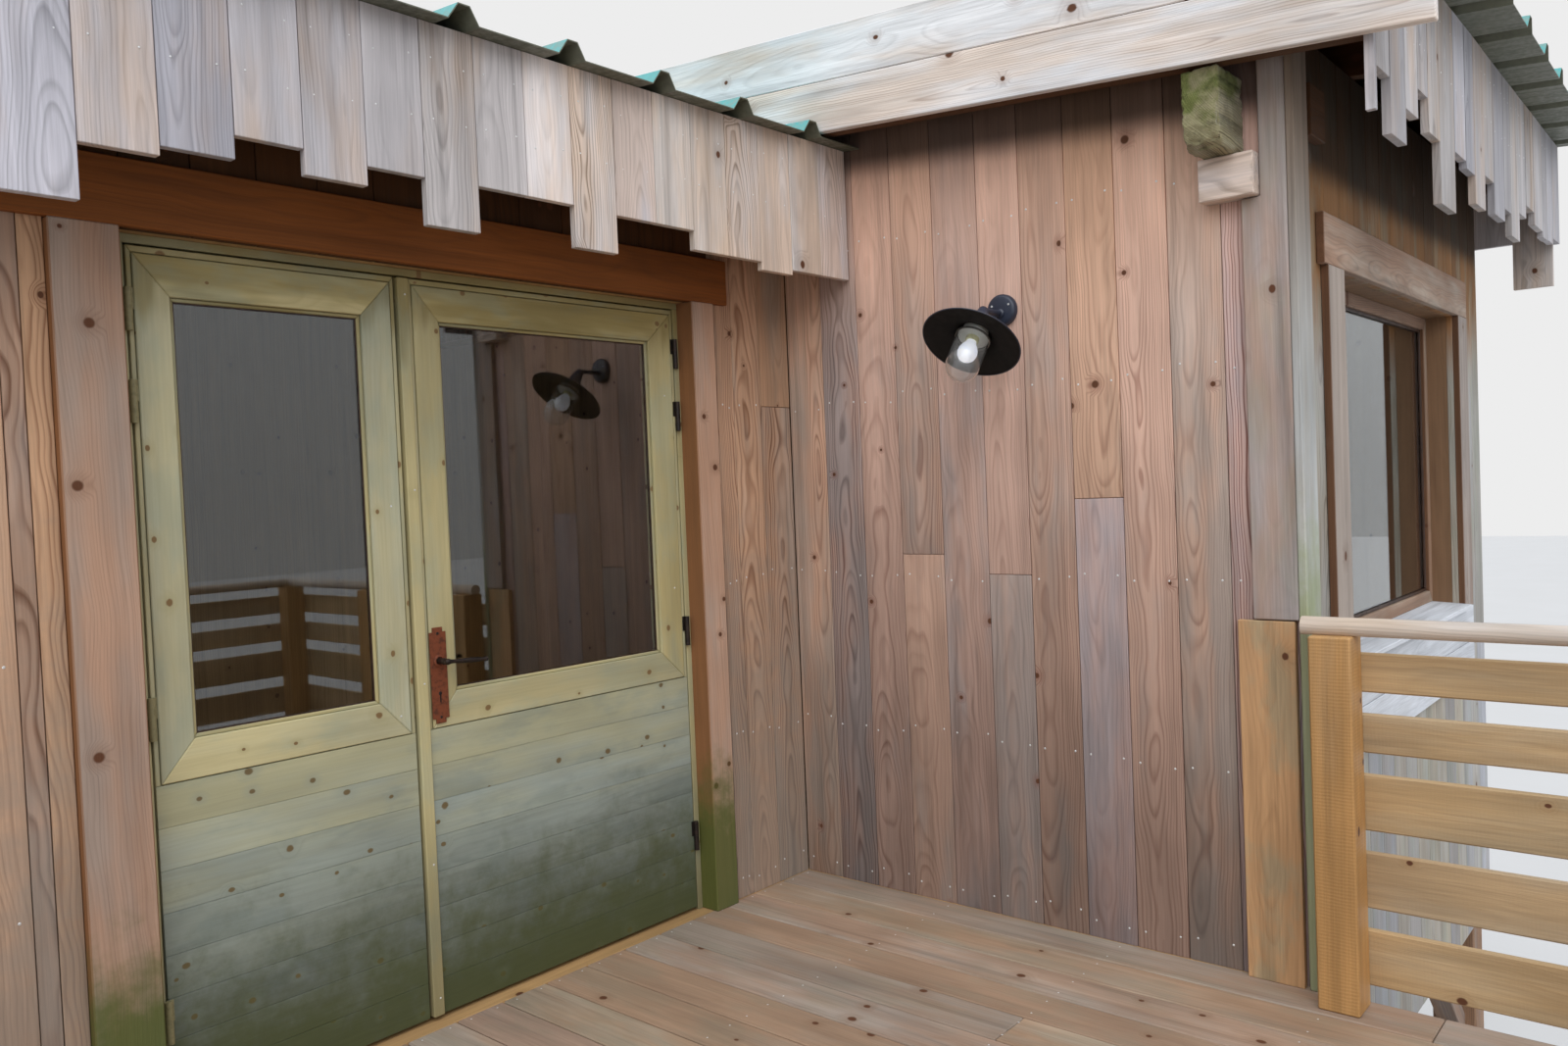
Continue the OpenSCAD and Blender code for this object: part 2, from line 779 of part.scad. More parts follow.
// A rafter between two lines y, hung below a sheet's underside
module main_rafter(x, y0, y1) {
    along_x(x, x + rafter_w, [[y0, main_under(y0)], [y1, main_under(y1)],
        [y1, main_pan(y1) - roof_board_t], [y0, main_pan(y0) - roof_board_t]]);
}

module wing_rafter(x, y0, y1, drop) {
    along_x(x, x + rafter_w, [[y0, wing_pan(y0) - drop], [y1, wing_pan(y1) - drop],
        [y1, wing_pan(y1) - roof_board_t], [y0, wing_pan(y0) - roof_board_t]]);
}

main_fringe_y = -main_fringe_out;
wing_fringe_y = -wing_reach - wing_fringe_out;
back_y = y_back - back_fringe_in;
rake_in = -rake_over + fascia_t;
fascia_drop = fascia_low + fascia_joint + fascia_high - fascia_rise;

// Places of the rafters from x0 on, all but the last one at x1
function rafter_row(x0, x1) = [for (x = [x0:rafter_pitch:x1 - rafter_w - 30]) x];

module rafters() {
    main_x0 = x_left + fringe_t;
    main_x1 = -roof_end_gap - rafter_w;
    wing_x1 = x_far - fringe_t - rafter_w;
    color("burlywood") placed() {
        for (x = concat(rafter_row(main_x0, main_x1), [main_x1]))
            main_rafter(x, main_fringe_y + fringe_t, back_y);
        for (x = concat(rafter_row(0, wing_x1), [wing_x1]))
            wing_rafter(x, wing_fringe_y + fringe_t, back_y, roof_build);
        wing_rafter(rake_in, wing_fringe_y + fringe_t, back_y, fascia_drop);
    }
}

module roof_boards() {
    color("tan") placed() {
        y0 = main_fringe_y + fringe_t;
        along_x(x_left + fringe_t, -roof_end_gap, [[y0, main_pan(y0) - roof_board_t],
            [back_y, main_pan(back_y) - roof_board_t], [back_y, main_pan(back_y)], [y0, main_pan(y0)]]);
        y2 = wing_fringe_y + fringe_t;
        along_x(rake_in, x_far - fringe_t, [[y2, wing_pan(y2) - roof_board_t],
            [back_y, wing_pan(back_y) - roof_board_t], [back_y, wing_pan(back_y)], [y2, wing_pan(y2)]]);
    }
}

// Upper line of a ribbed sheet from x0 to x1, with a rib crown at rib_x
function ribs(x0, x1, rib_x) = [for (k = [-40:40], c = rib_x + k * rib_pitch)
    if (c - rib_foot / 2 > x0 + 4 && c + rib_foot / 2 < x1 - 4) c];
function rib_line(x0, x1, rib_x, lift, spread) = concat([[x0, lift]],
    [for (c = ribs(x0, x1, rib_x), p = [[-rib_foot / 2 - spread, 0], [-rib_crown / 2 - spread, rib_h],
        [rib_crown / 2 + spread, rib_h], [rib_foot / 2 + spread, 0]]) [c + p[0], p[1] + lift]],
    [[x1, lift]]);
function reversed(list) = [for (i = [len(list) - 1:-1:0]) list[i]];

// Trapezoidal steel sheet that rises from an eave line
module ribbed_sheet(x0, x1, rib_x, y0, z0) {
    length = (y_back - y0) / cos(roof_pitch);
    translate([0, y0, z0 + seat]) rotate([roof_pitch, 0, 0])
        along_y(0, length, concat(rib_line(x0, x1, rib_x, 0, 0),
            reversed(rib_line(x0, x1, rib_x, sheet_t, sheet_t / 2))));
}

module roof_sheets() {
    color("turquoise") placed() {
        ribbed_sheet(x_left, -roof_end_gap, -rib_start, main_edge, main_eave);
        ribbed_sheet(rake_in, x_far, -rib_start + rib_pitch, wing_edge, wing_eave);
    }
}

// One sloping fascia board, given by its drop and height
module fascia_board(drop, height) {
    y0 = wing_edge + 7;
    y1 = y_back;
    along_x(-rake_over, rake_in, [[y0, wing_pan(y0) - drop], [y1, wing_pan(y1) - drop],
        [y1, wing_pan(y1) - drop + height], [y0, wing_pan(y0) - drop + height]]);
}

module rake_fascia() {
    color("lightgray") placed() {
        fascia_board(fascia_drop, fascia_low);
        fascia_board(fascia_high - fascia_rise, fascia_high);
    }
}

// How far the fringe boards over the deck hang below the sheet, from the inner corner leftwards
main_drops = [435, 435, 450, 425, 425, 370, 370, 475, 365, 365, 480, 370, 415,
    360, 410, 430, 540, 405, 455, 370, 485, 420, 365, 440, 395, 470, 425];
// The same on the wing, from the rake to the far side
wing_drops = [370, 505, 410, 330, 420, 590, 410, 430, 515, 400, 500, 455, 530,
    425, 375, 420, 440, 435, 410];
// Widths of the wing's boards, which are stretched together to fill the eave
wing_widths = [125, 155, 135, 115, 135, 195, 155, 130, 160, 155, 185, 125, 165,
    150, 175, 205, 125, 140, 185];
// How far the boards of the unseen fringes hang below the sheet
side_drops = [585, 400, 445, 380, 500, 360, 430, 470, 390, 540, 410, 370, 480];
function cycled(list, i) = list[i % len(list)];
// Sum of the first n entries of a list that starts again at its end
function total(list, n) = n <= 0 ? 0 : cycled(list, n - 1) + total(list, n - 1);

module main_fringe() {
    y = main_fringe_y;
    count = floor((-roof_end_gap - x_left) / fringe_pitch);
    color("rosybrown") placed() for (i = [0:count - 1]) {
        x = -roof_end_gap - 5 - (i + 1) * fringe_pitch;
        block([max(x, x_left + fringe_t) + fringe_gap, y, main_pan(y) - cycled(main_drops, i)],
            [x + fringe_pitch, y + fringe_t, main_pan(y)]);
    }
}

module wing_fringe() {
    y = wing_fringe_y;
    top = wing_pan(y);
    start = rake_in + 10;
    x0 = start + fringe_batten_w;
    count = round((x_far - x0) / wing_fringe_pitch);
    stretch = (x_far - x0) / total(wing_widths, count);
    color("rosybrown") placed() {
        block([start, y, top - fringe_batten_drop], [x0 - 1, y + fringe_t, top]);
        for (i = [0:count - 1])
            block([x0 + stretch * total(wing_widths, i), y, top - cycled(wing_drops, i)],
                [x0 + stretch * total(wing_widths, i + 1) - wing_fringe_gap, y + fringe_t, top]);
    }
}

// Fringes of the left end, the far side and the two back edges
module side_fringes() {
    left_n = floor((back_y - main_fringe_y) / fringe_pitch);
    far_y0 = wing_fringe_y + fringe_t + 1;
    far_n = floor((back_y - far_y0) / fringe_pitch);
    back_n = floor((-roof_end_gap - x_left - fringe_t) / fringe_pitch);
    wing_n = floor((x_far - fringe_t - rake_in) / fringe_pitch);
    color("rosybrown") placed() {
        for (i = [0:left_n - 1]) {
            y = main_fringe_y + i * fringe_pitch;
            block([x_left, y, main_pan(y) - cycled(side_drops, i + 3)],
                [x_left + fringe_t, y + fringe_pitch - fringe_gap, main_pan(y)]);
        }
        for (i = [0:far_n - 1]) {
            y = far_y0 + i * fringe_pitch;
            block([x_far - fringe_t, y, wing_pan(y) - cycled(side_drops, i)],
                [x_far, y + fringe_pitch - fringe_gap, wing_pan(y)]);
        }
        for (i = [0:back_n - 1]) {
            x = x_left + fringe_t + i * fringe_pitch;
            block([x + fringe_gap, back_y, main_pan(back_y) - cycled(side_drops, i + 5)],
                [x + fringe_pitch, back_y + fringe_t, main_pan(back_y)]);
        }
        for (i = [0:wing_n - 1]) {
            x = rake_in + i * fringe_pitch;
            foot = wing_pan(back_y) - cycled(side_drops, i + 2);
            over_main = main_pan(y_back) + rib_h + 3 * sheet_t;
            block([x + fringe_gap, back_y, x < 0 ? max(foot, over_main) : foot],
                [x + fringe_pitch, back_y + fringe_t, wing_pan(back_y)]);
        }
    }
}

beam_y = -wing_reach + beam_in;
beam_top = wing_pan(beam_y) - fascia_drop - 1;
block_top = beam_top - beam_h - 1;

module corner_boards() {
    y = -wing_reach;
    top = wing_under(y) - 10;
    color("sandybrown") placed() {
        notch_z = block_top - block_h - 2;
        notch_y = y + beam_in - block_pass - 2;
        along_x(-clad_t, 0, [[y + 1, corner_cut + 3], [y + corner_w, corner_cut + 3],
            [y + corner_w, notch_z], [notch_y, notch_z], [notch_y, top], [y + 1, top]]);
        block([-clad_t, y + corner_low_in, 0], [0, y + corner_low_in + corner_low_w, corner_cut]);
        block([-clad_t, y - clad_t, 0], [corner_side_w, y, top]);
        block([corner_side_w + 1, y - eave_board_t, eave_board_z],
            [corner_side_w + 1 + eave_board_w, y, eave_board_z + eave_board_h]);
    }
}

// Rounded beam end under the rake, with the block that it rests on
module beam_end() {
    low = beam_top - beam_h;
    nose = rake_in;
    color("darkolivegreen") placed() {
        along_y(beam_y, beam_y + beam_w, [[nose, beam_top], [0, beam_top], [0, low],
            [nose + beam_cut * 0.7, low], [nose + beam_cut * 0.2, low + beam_cut * 0.3],
            [nose, low + beam_cut]]);
        block([-block_t, beam_y - block_pass, block_top - block_h],
            [0, beam_y - block_pass + block_w, block_top]);
    }
}

// Turn a shape built up along z to the lamp's axis, with zero at the rim
module on_lamp_axis() {
    translate(rim) rotate([0, shade_tilt, 0]) children();
}

// Height of the arm's end above the rim, along the lamp's axis
elbow_l = (shade_drop - arm_drop) / cos(shade_tilt);

module lamp_bracket() {
    elbow_x = rim[0] + elbow_l * sin(shade_tilt);
    color("darkslategray") placed() {
        translate([-lamp_plate_t, -lamp_y, lamp_z]) rotate([0, 90, 0])
            cylinder(r = lamp_plate_r, h = lamp_plate_t);
        translate([elbow_x, -lamp_y, lamp_z - arm_drop]) rotate([0, 90, 0])
            cylinder(r = arm_r, h = -lamp_plate_t - elbow_x + 3);
        on_lamp_axis() translate([0, 0, shade_depth])
            cylinder(r1 = neck_r - 14, r2 = arm_r + 7, h = elbow_l - shade_depth);
        on_lamp_axis() translate([0, 0, elbow_l]) sphere(arm_r + 7);
    }
}

// Shade with a raised neck that is closed by a flat cap
module lamp_shade() {
    t = shade_t;
    cap = shade_depth;
    shoulder = cap - 22;
    color("darkslategray") placed() on_lamp_axis() rotate_extrude($fn = 64) polygon([
        [shade_r, 0], [shade_r, 2 * t], [neck_r, shoulder], [neck_r, cap],
        [0, cap], [0, cap - 2 * t], [neck_r - t, cap - 2 * t],
        [neck_r - t, shoulder - t], [shade_r - t, 0]]);
}

// Glass dome, open towards the neck
module lamp_glass() {
    z1 = shade_depth - shade_t * 2;
    z0 = dome_r - dome_l;
    color("lightblue") placed() on_lamp_axis() difference() {
        union() {
            translate([0, 0, z0]) cylinder(r = dome_r, h = z1 - z0);
            translate([0, 0, z0]) sphere(dome_r);
        }
        translate([0, 0, z0]) cylinder(r = dome_r - dome_t, h = z1 - z0 + 1);
        translate([0, 0, z0]) sphere(dome_r - dome_t);
    }
}

module lamp_bulb() {
    z1 = shade_depth - shade_t * 2;
    color("ivory") placed() on_lamp_axis() {
        translate([0, 0, -40]) sphere(bulb_r);
        translate([0, 0, -30]) cylinder(r = 14, h = z1 + 30);
    }
}

// Rails stand just inside the outer face of the railing boards
rail_line = -rail_t - rail_post / 2;
rail_y0 = -wing_reach - clad_t;
front_y = -deck_d - rail_line;
left_x = -deck_w - rail_line;
right_first = rail_y0 - rail_start - rail_post / 2;
right_ys = [right_first, (right_first + front_y) / 2, front_y];
entry_x0 = left_x + rail_post / 2;
entry_x1 = entry_x0 + entry_w;
front_xs = [rail_line, (rail_line + entry_x1 + rail_post / 2) / 2, entry_x1 + rail_post / 2, left_x];
wall_post_y = -rail_post / 2 - clad_t;
left_ys = [front_y + (wall_post_y - front_y) / 3, front_y + (wall_post_y - front_y) * 2 / 3, wall_post_y];
rail_heights = [rail_wide, rail_wide, rail_wide, rail_narrow, rail_narrow];
function rail_z(i) = i == 0 ? rail_foot : rail_z(i - 1) + rail_heights[i - 1] + rail_gap;

module rail_post_at(x, y) {
    block([x - rail_post / 2, y - rail_post / 2, 0], [x + rail_post / 2, y + rail_post / 2, rail_post_h]);
}

module railing_posts() {
    color("goldenrod") placed() {
        for (y = right_ys) rail_post_at(rail_line, y);
        for (i = [1:3]) rail_post_at(front_xs[i], front_y);
        for (y = left_ys) rail_post_at(left_x, y);
    }
}

module railing_boards() {
    color("goldenrod") placed() for (i = [0:4]) {
        z0 = rail_z(i);
        z1 = z0 + rail_heights[i];
        block([-rail_t, -deck_d, z0], [0, rail_y0, z1]);
        block([entry_x1, -deck_d, z0], [-rail_t - seat, -deck_d + rail_t, z1]);
        block([-deck_w, -deck_d, z0], [-deck_w + rail_t, -clad_t, z1]);
    }
}

// Round rail with a flat underside, along x or y
module rail_bar(length) {
    rotate([90, 0, 0]) linear_extrude(length) intersection() {
        circle(handrail_r);
        translate([-handrail_r, -handrail_flat]) square([2 * handrail_r, handrail_r + handrail_flat]);
    }
}

module handrails() {
    z = rail_post_h + handrail_flat;
    color("goldenrod") placed() {
        translate([rail_line, rail_y0, z]) rail_bar(rail_y0 - front_y + handrail_r);
        translate([rail_line - handrail_r - seat, front_y, z]) rotate([0, 0, -90])
            rail_bar(rail_line - handrail_r - seat - entry_x1);
        translate([left_x, -clad_t, z]) rail_bar(-clad_t - front_y + rail_post / 2);
    }
}

stilts();
bearers();
knee_braces();
joists();
deck_floor();
room_floor();
door_wall();
door_wall_head();
left_end_wall();
back_wall();
lamp_wall();
window_wall();
far_end_wall();
door_lintel();
door_posts();
door_frame();
left_leaf();
left_glass();
right_leaf();
right_glass();
lock_plate();
lever();
left_leaf_hinges();
right_leaf_hinges();
frame_hinges();
window_frame();
window_glass();
window_casing();
window_sill();
rafters();
roof_boards();
roof_sheets();
rake_fascia();
main_fringe();
wing_fringe();
side_fringes();
corner_boards();
beam_end();
lamp_bracket();
lamp_shade();
lamp_glass();
lamp_bulb();
railing_posts();
railing_boards();
handrails();
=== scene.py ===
"""Looks of a timber tree house on stilts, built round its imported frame.

Lengths in the classes are millimetres on the builder's plan, whose zero is the inner
corner of the deck at board level; at() turns them into the frame's metres.
"""

import logging
import math
import random
from dataclasses import dataclass, field, replace
from enum import Enum
from functools import partial
from itertools import pairwise
from typing import Any, Callable, Sequence

import bmesh
import bpy
import numpy as np
from mathutils import Matrix, Vector, noise


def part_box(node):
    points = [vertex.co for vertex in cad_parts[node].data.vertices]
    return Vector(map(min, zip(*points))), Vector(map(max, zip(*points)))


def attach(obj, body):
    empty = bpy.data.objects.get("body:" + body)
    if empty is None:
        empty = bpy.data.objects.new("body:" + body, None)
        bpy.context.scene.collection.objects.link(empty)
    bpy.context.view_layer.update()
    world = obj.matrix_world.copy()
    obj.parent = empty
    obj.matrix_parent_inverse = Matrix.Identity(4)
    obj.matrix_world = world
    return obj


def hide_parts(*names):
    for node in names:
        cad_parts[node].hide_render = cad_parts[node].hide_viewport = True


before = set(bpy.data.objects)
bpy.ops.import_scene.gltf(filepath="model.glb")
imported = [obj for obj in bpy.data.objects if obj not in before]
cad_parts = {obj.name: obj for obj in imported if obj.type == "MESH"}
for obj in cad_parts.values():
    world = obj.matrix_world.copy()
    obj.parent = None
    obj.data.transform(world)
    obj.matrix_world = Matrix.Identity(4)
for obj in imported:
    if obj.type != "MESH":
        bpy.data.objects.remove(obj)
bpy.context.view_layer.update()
LOG = logging.getLogger("tree_house")

Solid = bmesh.types.BMesh
Tree = bpy.types.NodeTree
Socket = bpy.types.NodeSocket
Adder = Callable[..., Any]
Span = tuple[float, float]
Outline = list[Span]

X, Y, Z = Vector((1, 0, 0)), Vector((0, 1, 0)), Vector((0, 0, 1))
CORNER = Vector((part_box("lamp_wall")[0].x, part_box("door_wall")[0].y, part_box("door_posts")[0].z))
SLOPE = math.radians(4.9)
# Metres past a board's end, where a saw cut takes nothing.
BEYOND = 0.01

# The node property that the word after a node's type sets.
OPTION = {"Math": "operation", "VectorMath": "operation", "MapRange": "interpolation_type", "Mix": "data_type"}
# Noise drawn out along the grain: scale along and across it per metre, detail and roughness.
DRAWN = {
    "drift": (2.2, 5.0, 2.0, 0.5),  # slow bend of the trunk
    "fibre": (4.0, 210.0, 3.0, 0.65),  # fibres of 5 by 250 mm, drawn coarse enough to show
    "streak": (0.7, 30.0, 2.0, 0.5),  # broader streaks
    "run": (0.45, 17.0, 4.0, 0.7),  # stains that run along the board
    "cast": (2.2, 6.0, 2.0, 0.5),  # soft mottle
    "patch": (1.8, 9.0, 3.0, 0.6),  # silvered patches
    "cloud": (4.0, 9.0, 4.0, 0.6),  # blotches of old stain, lime or algae, about 200 mm across
}
# How far the drift bends the rings, in metres, along, across and into the board.
TRUNK_BEND = (0.03, 0.036, 0.062)
# Darkness over one year ring: pale early wood, dark late wood, and a sharp end.
RING_PROFILE = ((0.0, "#404040"), (0.98, "#a0a0a0"), (0.1, "#000000"), (0.45, "#303030"), (0.84, "#ffffff"))


def at(x: float, y: float, z: float) -> Vector:
    """Turn a plan point in millimetres into the frame, in metres."""
    return CORNER + Vector((x, y, z)) / 1000


def plan_box(node: str) -> tuple[Vector, Vector]:
    """Lowest and highest corner of a CAD node on the plan, in millimetres."""
    low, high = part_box(node)
    return (low - CORNER) * 1000, (high - CORNER) * 1000


def linear(code: str) -> tuple[float, ...]:
    """Turn an sRGB hex colour into linear RGBA."""
    parts = [int(code[i : i + 2], 16) / 255 for i in (1, 3, 5)]
    return *(c / 12.92 if c <= 0.04045 else ((c + 0.055) / 1.055) ** 2.4 for c in parts), 1.0


def add(tree: Tree, kind: str, *inputs: Any, named: dict[str, Any] | None = None, **settings: Any) -> Any:
    """Add one shader node with its settings and links.

    Args:
        tree: the material's node tree.
        kind: the node's type without ShaderNode, and after a blank its operation or the like.
        inputs: for its live inputs in order, a constant or the socket that feeds it; None skips one.
        named: the same for inputs by name.
        settings: node properties; stops gives a colour ramp's (place, hex) pairs.

    Returns:
        The node's first live output, whose node has the others, or None if it has none.
    """
    kind, _, option = kind.partition(" ")
    made = tree.nodes.new("ShaderNode" + kind)
    stops = settings.pop("stops", ())
    for name, value in (settings | ({OPTION[kind]: option} if option else {})).items():
        setattr(made, name, value)
    for i, (place, code) in enumerate(stops):
        ramp = made.color_ramp.elements
        stop = ramp[i] if i < 2 else ramp.new(place)
        stop.position, stop.color = place, linear(code)
    pairs = [*zip((s for s in made.inputs if s.enabled), inputs)]
    for socket, value in pairs + [(made.inputs[name], value) for name, value in (named or {}).items()]:
        if isinstance(value, Socket):
            tree.links.new(value, socket)
        elif value is not None:
            socket.default_value = value
    return next((s for s in made.outputs if s.enabled), None)


@dataclass(frozen=True)
class Coat:
    """A procedural finish."""

    name: str

    def sockets(self, put: Adder, place: Socket) -> dict[str, Any]:
        """Add the finish's own nodes.

        Args:
            put: adds a node; see add().
            place: the Object coordinates, in metres.

        Returns:
            The inputs of the surface shader that it sets, each with a constant or the socket that feeds it.
        """
        raise NotImplementedError

    def material(self) -> bpy.types.Material:
        """Build the finish's material.

        Returns:
            The material.
        """
        material = bpy.data.materials.new(self.name)
        material.use_nodes = True
        material.node_tree.nodes.clear()
        put = partial(add, material.node_tree)
        place = put("TexCoord").node.outputs["Object"]
        put("OutputMaterial", put("BsdfPrincipled", named=self.sockets(put, place)))
        return material


@dataclass(frozen=True)
class Wood(Coat):
    """Solid timber seen through its year rings: sawn softwood, oiled, stained or silvered by weather.

    Rings are cylinders round a pith that lies off each board, so a flat-sawn face shows
    cathedral arches and an end shows arcs. Sizes are millimetres, heights metres in the frame.
    Marks are the knots that catch the eye: place along the face, height and radius on the plan.
    The boards' grain coordinates, tone and figure come from attributes that their pile wrote.
    """

    early: str
    late: str
    knot: str = "#5d3a26"
    silver: str = "#a09a98"
    silvered: float = 0.35
    ring: float = 8.0
    figure: float = 0.75
    ghosted: float = 0.25
    fibrous: float = 0.8
    knots: float = 0.2
    knot_cell: float = 130.0
    knot_size: Span = (5.0, 11.0)
    ragged: float = 0.5
    blotch: str = "#6f7f68"
    blotched: float = 0.0
    moss: str = "#4c5430"
    moss_heights: Span | None = None
    mossed: float = 0.92
    dry_and_shade: str = "#9a6038"
    dry_and_shade_heights: Span | None = None
    dried_and_shaded: float = 0.6
    streaked: float = 0.25
    splash_and_shade_heights: Span | None = None
    splashed_and_shaded: float = 0.7
    marks: tuple[tuple[float, float, float], ...] = ()
    marked_face: tuple[int, int, int] = (1, 0, 1)
    lee_and_shade: str | None = None
    eave: Span | None = None
    chatter: float = 0.0
    rough: float = 0.72
    relief: float = 0.35

    def sockets(self, put: Adder, place: Socket) -> dict[str, Any]:
        """Add the wood's nodes, from its grain to its gloss.

        Args:
            put: adds a node; see add().
            place: the Object coordinates.

        Returns:
            The surface shader's inputs.
        """
        grain = put("Attribute", attribute_name="wood").node.outputs["Vector"]
        drawn = {}
        for name, (along, across, detail, rough) in DRAWN.items():
            scaled = put("VectorMath MULTIPLY", grain, (along, across, across))
            drawn[name] = put("TexNoise", scaled, 1.0, detail, rough)
        drift = put("VectorMath SUBTRACT", drawn["drift"].node.outputs["Color"], (0.5, 0.5, 0.5))
        bent = put("VectorMath MULTIPLY_ADD", drift, TRUNK_BEND, grain)
        eye, halo = self._knots(put, place, bent, drawn["fibre"])
        rings = self._rings(put, bent, halo)
        raised = put("Math MULTIPLY_ADD", rings, 0.45, drawn["fibre"])
        if self.chatter:
            # Planer chatter: ripples about 9 mm apart across the grain.
            wave = {"Scale": 36.0, "Distortion": 2.0, "Detail": 1.0, "Detail Scale": 0.4}
            ripple = put("TexWave", grain, named=wave, bands_direction="X").node.outputs["Fac"]
            raised = put("Math MULTIPLY_ADD", ripple, self.chatter, raised)
        return {
            "Base Color": self._colour(put, place, drawn, rings, eye, halo),
            "Normal": put("Bump", named={"Height": raised, "Strength": self.relief, "Distance": 0.0015}),
            "Roughness": put("MapRange", rings, 0.0, 1.0, self.rough + 0.06, self.rough - 0.08),
            "Specular IOR Level": 0.3,
        }

    def _knots(self, put: Adder, place: Socket, bent: Socket, fibre: Socket) -> tuple[Socket, Socket]:
        """Set knots: one point in each cell, of which only a share holds one, and the marks.

        Args:
            put: adds a node; see add().
            place: the Object coordinates.
            bent: the grain coordinates, bent by the drift.
            fibre: the noise that makes a knot's rim ragged.

        Returns:
            How far a point lies in a knot, and in the disturbed wood round it.
        """
        cell = self.knot_cell / 1000
        cells = put("VectorMath MULTIPLY", bent, (0.8 / cell, 1 / cell, 0))
        spots = put("TexVoronoi", cells, 1.0, named={"Randomness": 0.95}, voronoi_dimensions="2D")
        chance = put("SeparateColor", spots.node.outputs["Color"]).node.outputs
        present = put("Math LESS_THAN", chance[0], self.knots)
        size = put("MapRange", chance[1], 0.0, 1.0, *(s / 1000 / cell for s in self.knot_size))
        ratio = put("Math DIVIDE", spots, size)
        ragged = put("Math MULTIPLY_ADD", fibre, self.ragged, ratio)
        near = put("MapRange SMOOTHSTEP", ragged, 1.2 + self.ragged / 2, 0.75 + self.ragged / 2)
        around = put("MapRange SMOOTHSTEP", ratio, 4.5, 0.8)
        eye, halo = (put("Math MULTIPLY", each, present) for each in (near, around))
        if self.marks:
            flat = put("VectorMath MULTIPLY", place, self.marked_face)
            closest: Any = 9.0
            for along, height, radius in self.marks:
                spot = [c * on for c, on in zip(at(along, along, height), self.marked_face)]
                apart = put("VectorMath DISTANCE", flat, spot)
                closest = put("Math MINIMUM", put("Math MULTIPLY", apart, 1000 / radius), closest)
            eye = put("Math MAXIMUM", put("MapRange SMOOTHSTEP", closest, 1.15, 0.7), eye)
            halo = put("Math MAXIMUM", put("MapRange SMOOTHSTEP", closest, 3.4, 0.8), halo)
        return eye, halo

    def _rings(self, put: Adder, bent: Socket, halo: Socket) -> Socket:
        """Draw year rings of uneven width and strength, pushed outwards round each knot.

        Args:
            put: adds a node; see add().
            bent: the bent grain coordinates.
            halo: the disturbed wood round the knots.

        Returns:
            The share of late wood.
        """
        _, across, deep = put("SeparateXYZ", bent).node.outputs
        radius = put("VectorMath LENGTH", put("CombineXYZ", None, across, deep))
        pushed = put("Math MULTIPLY_ADD", halo, 0.016, radius)
        pace = put("Math MULTIPLY", pushed, 38.0)
        uneven = put("TexNoise", pace, 1.0, 1.0, noise_dimensions="1D")
        count = put("Math MULTIPLY", pushed, 1000 / self.ring)
        phase = put("Math MULTIPLY_ADD", uneven, 2.2, count)
        profile = put("ValToRGB", put("Math FRACT", phase), stops=RING_PROFILE)
        year = put("TexWhiteNoise", put("Math FLOOR", phase), noise_dimensions="1D")
        return put("Math MULTIPLY", profile, put("MapRange", year, 0.0, 1.0, 0.35, 1.0))

    def _colour(
        self, put: Adder, place: Socket, drawn: dict[str, Socket], rings: Socket, eye: Socket, halo: Socket
    ) -> Socket:
        """Lay the wood's colours over each other: rings, silver, weather, shade, knots and moss.

        Args:
            put: adds a node; see add().
            place: the Object coordinates.
            drawn: the noises along the grain.
            rings: the share of late wood.
            eye: the knots.
            halo: the wood round them.

        Returns:
            The colour.
        """
        tone = put("Attribute", attribute_name="tone")
        own = put("Attribute", attribute_name="figure").node.outputs["Fac"]
        _, ahead, height = put("SeparateXYZ", place).node.outputs
        shown = put("Math MULTIPLY", rings, own)
        late = put("Math MULTIPLY", shown, self.figure)
        body = put("Mix RGBA", late, linear(self.early), linear(self.late))
        # Silvered patches follow the grain; the board's own share is in the tone's alpha.
        biased = put("Math MULTIPLY_ADD", drawn["patch"], 1.7, tone.node.outputs["Alpha"])
        ghost = put("Math MULTIPLY_ADD", shown, -self.ghosted, 1.08)
        dull = put("VectorMath SCALE", linear(self.silver)[:3], ghost)
        body, grey = (put("VectorMath MULTIPLY", each, tone) for each in (body, dull))
        layers = [(put("MapRange SMOOTHSTEP", biased, 1.0, 1.6, 0.0, self.silvered * 1.5), grey)]
        reach = self.fibrous
        fibred = put("MapRange", drawn["fibre"], 0.3, 0.7, 1 - 0.13 * reach, 1 + 0.1 * reach)
        shades = [
            put("MapRange", drawn["streak"], 0.3, 0.7, 1 - 0.15 * reach, 1 + 0.11 * reach),
            put("MapRange", drawn["cast"], 0.3, 0.7, 0.84, 1.12),
            put("MapRange SMOOTHSTEP", drawn["run"], 0.52, 0.72, 1.0, 1 - self.streaked),
        ]
        if self.splash_and_shade_heights:
            # Darker towards the deck: rain splash and handling, and painted shade low down.
            shades.append(put("MapRange SMOOTHSTEP", height, *self.splash_and_shade_heights, self.splashed_and_shaded, 1.0))
        if self.dry_and_shade_heights:
            # Under the eaves the wood keeps its fresh colour; on the stained doors and round the window this darker
            # top band is partly painted shade.
            low, high = (h + 0.25 for h in self.dry_and_shade_heights)
            waved = put("Math MULTIPLY_ADD", drawn["patch"], 0.5, height)
            fresh = put("VectorMath MULTIPLY", linear(self.dry_and_shade)[:3], tone)
            layers.append((put("MapRange SMOOTHSTEP", waved, low, high, 0.0, self.dried_and_shaded), fresh))
        if self.lee_and_shade:
            # Faces turned to the side take their own colour: partly the oiled colour kept out of the rain, partly
            # painted light and shade on those sides.
            normal = put("SeparateXYZ", put("NewGeometry").node.outputs["Normal"])
            aside = put("Math ABSOLUTE", normal)
            layers.append((put("MapRange", aside, 0.5, 0.8), linear(self.lee_and_shade)))
        if self.eave:
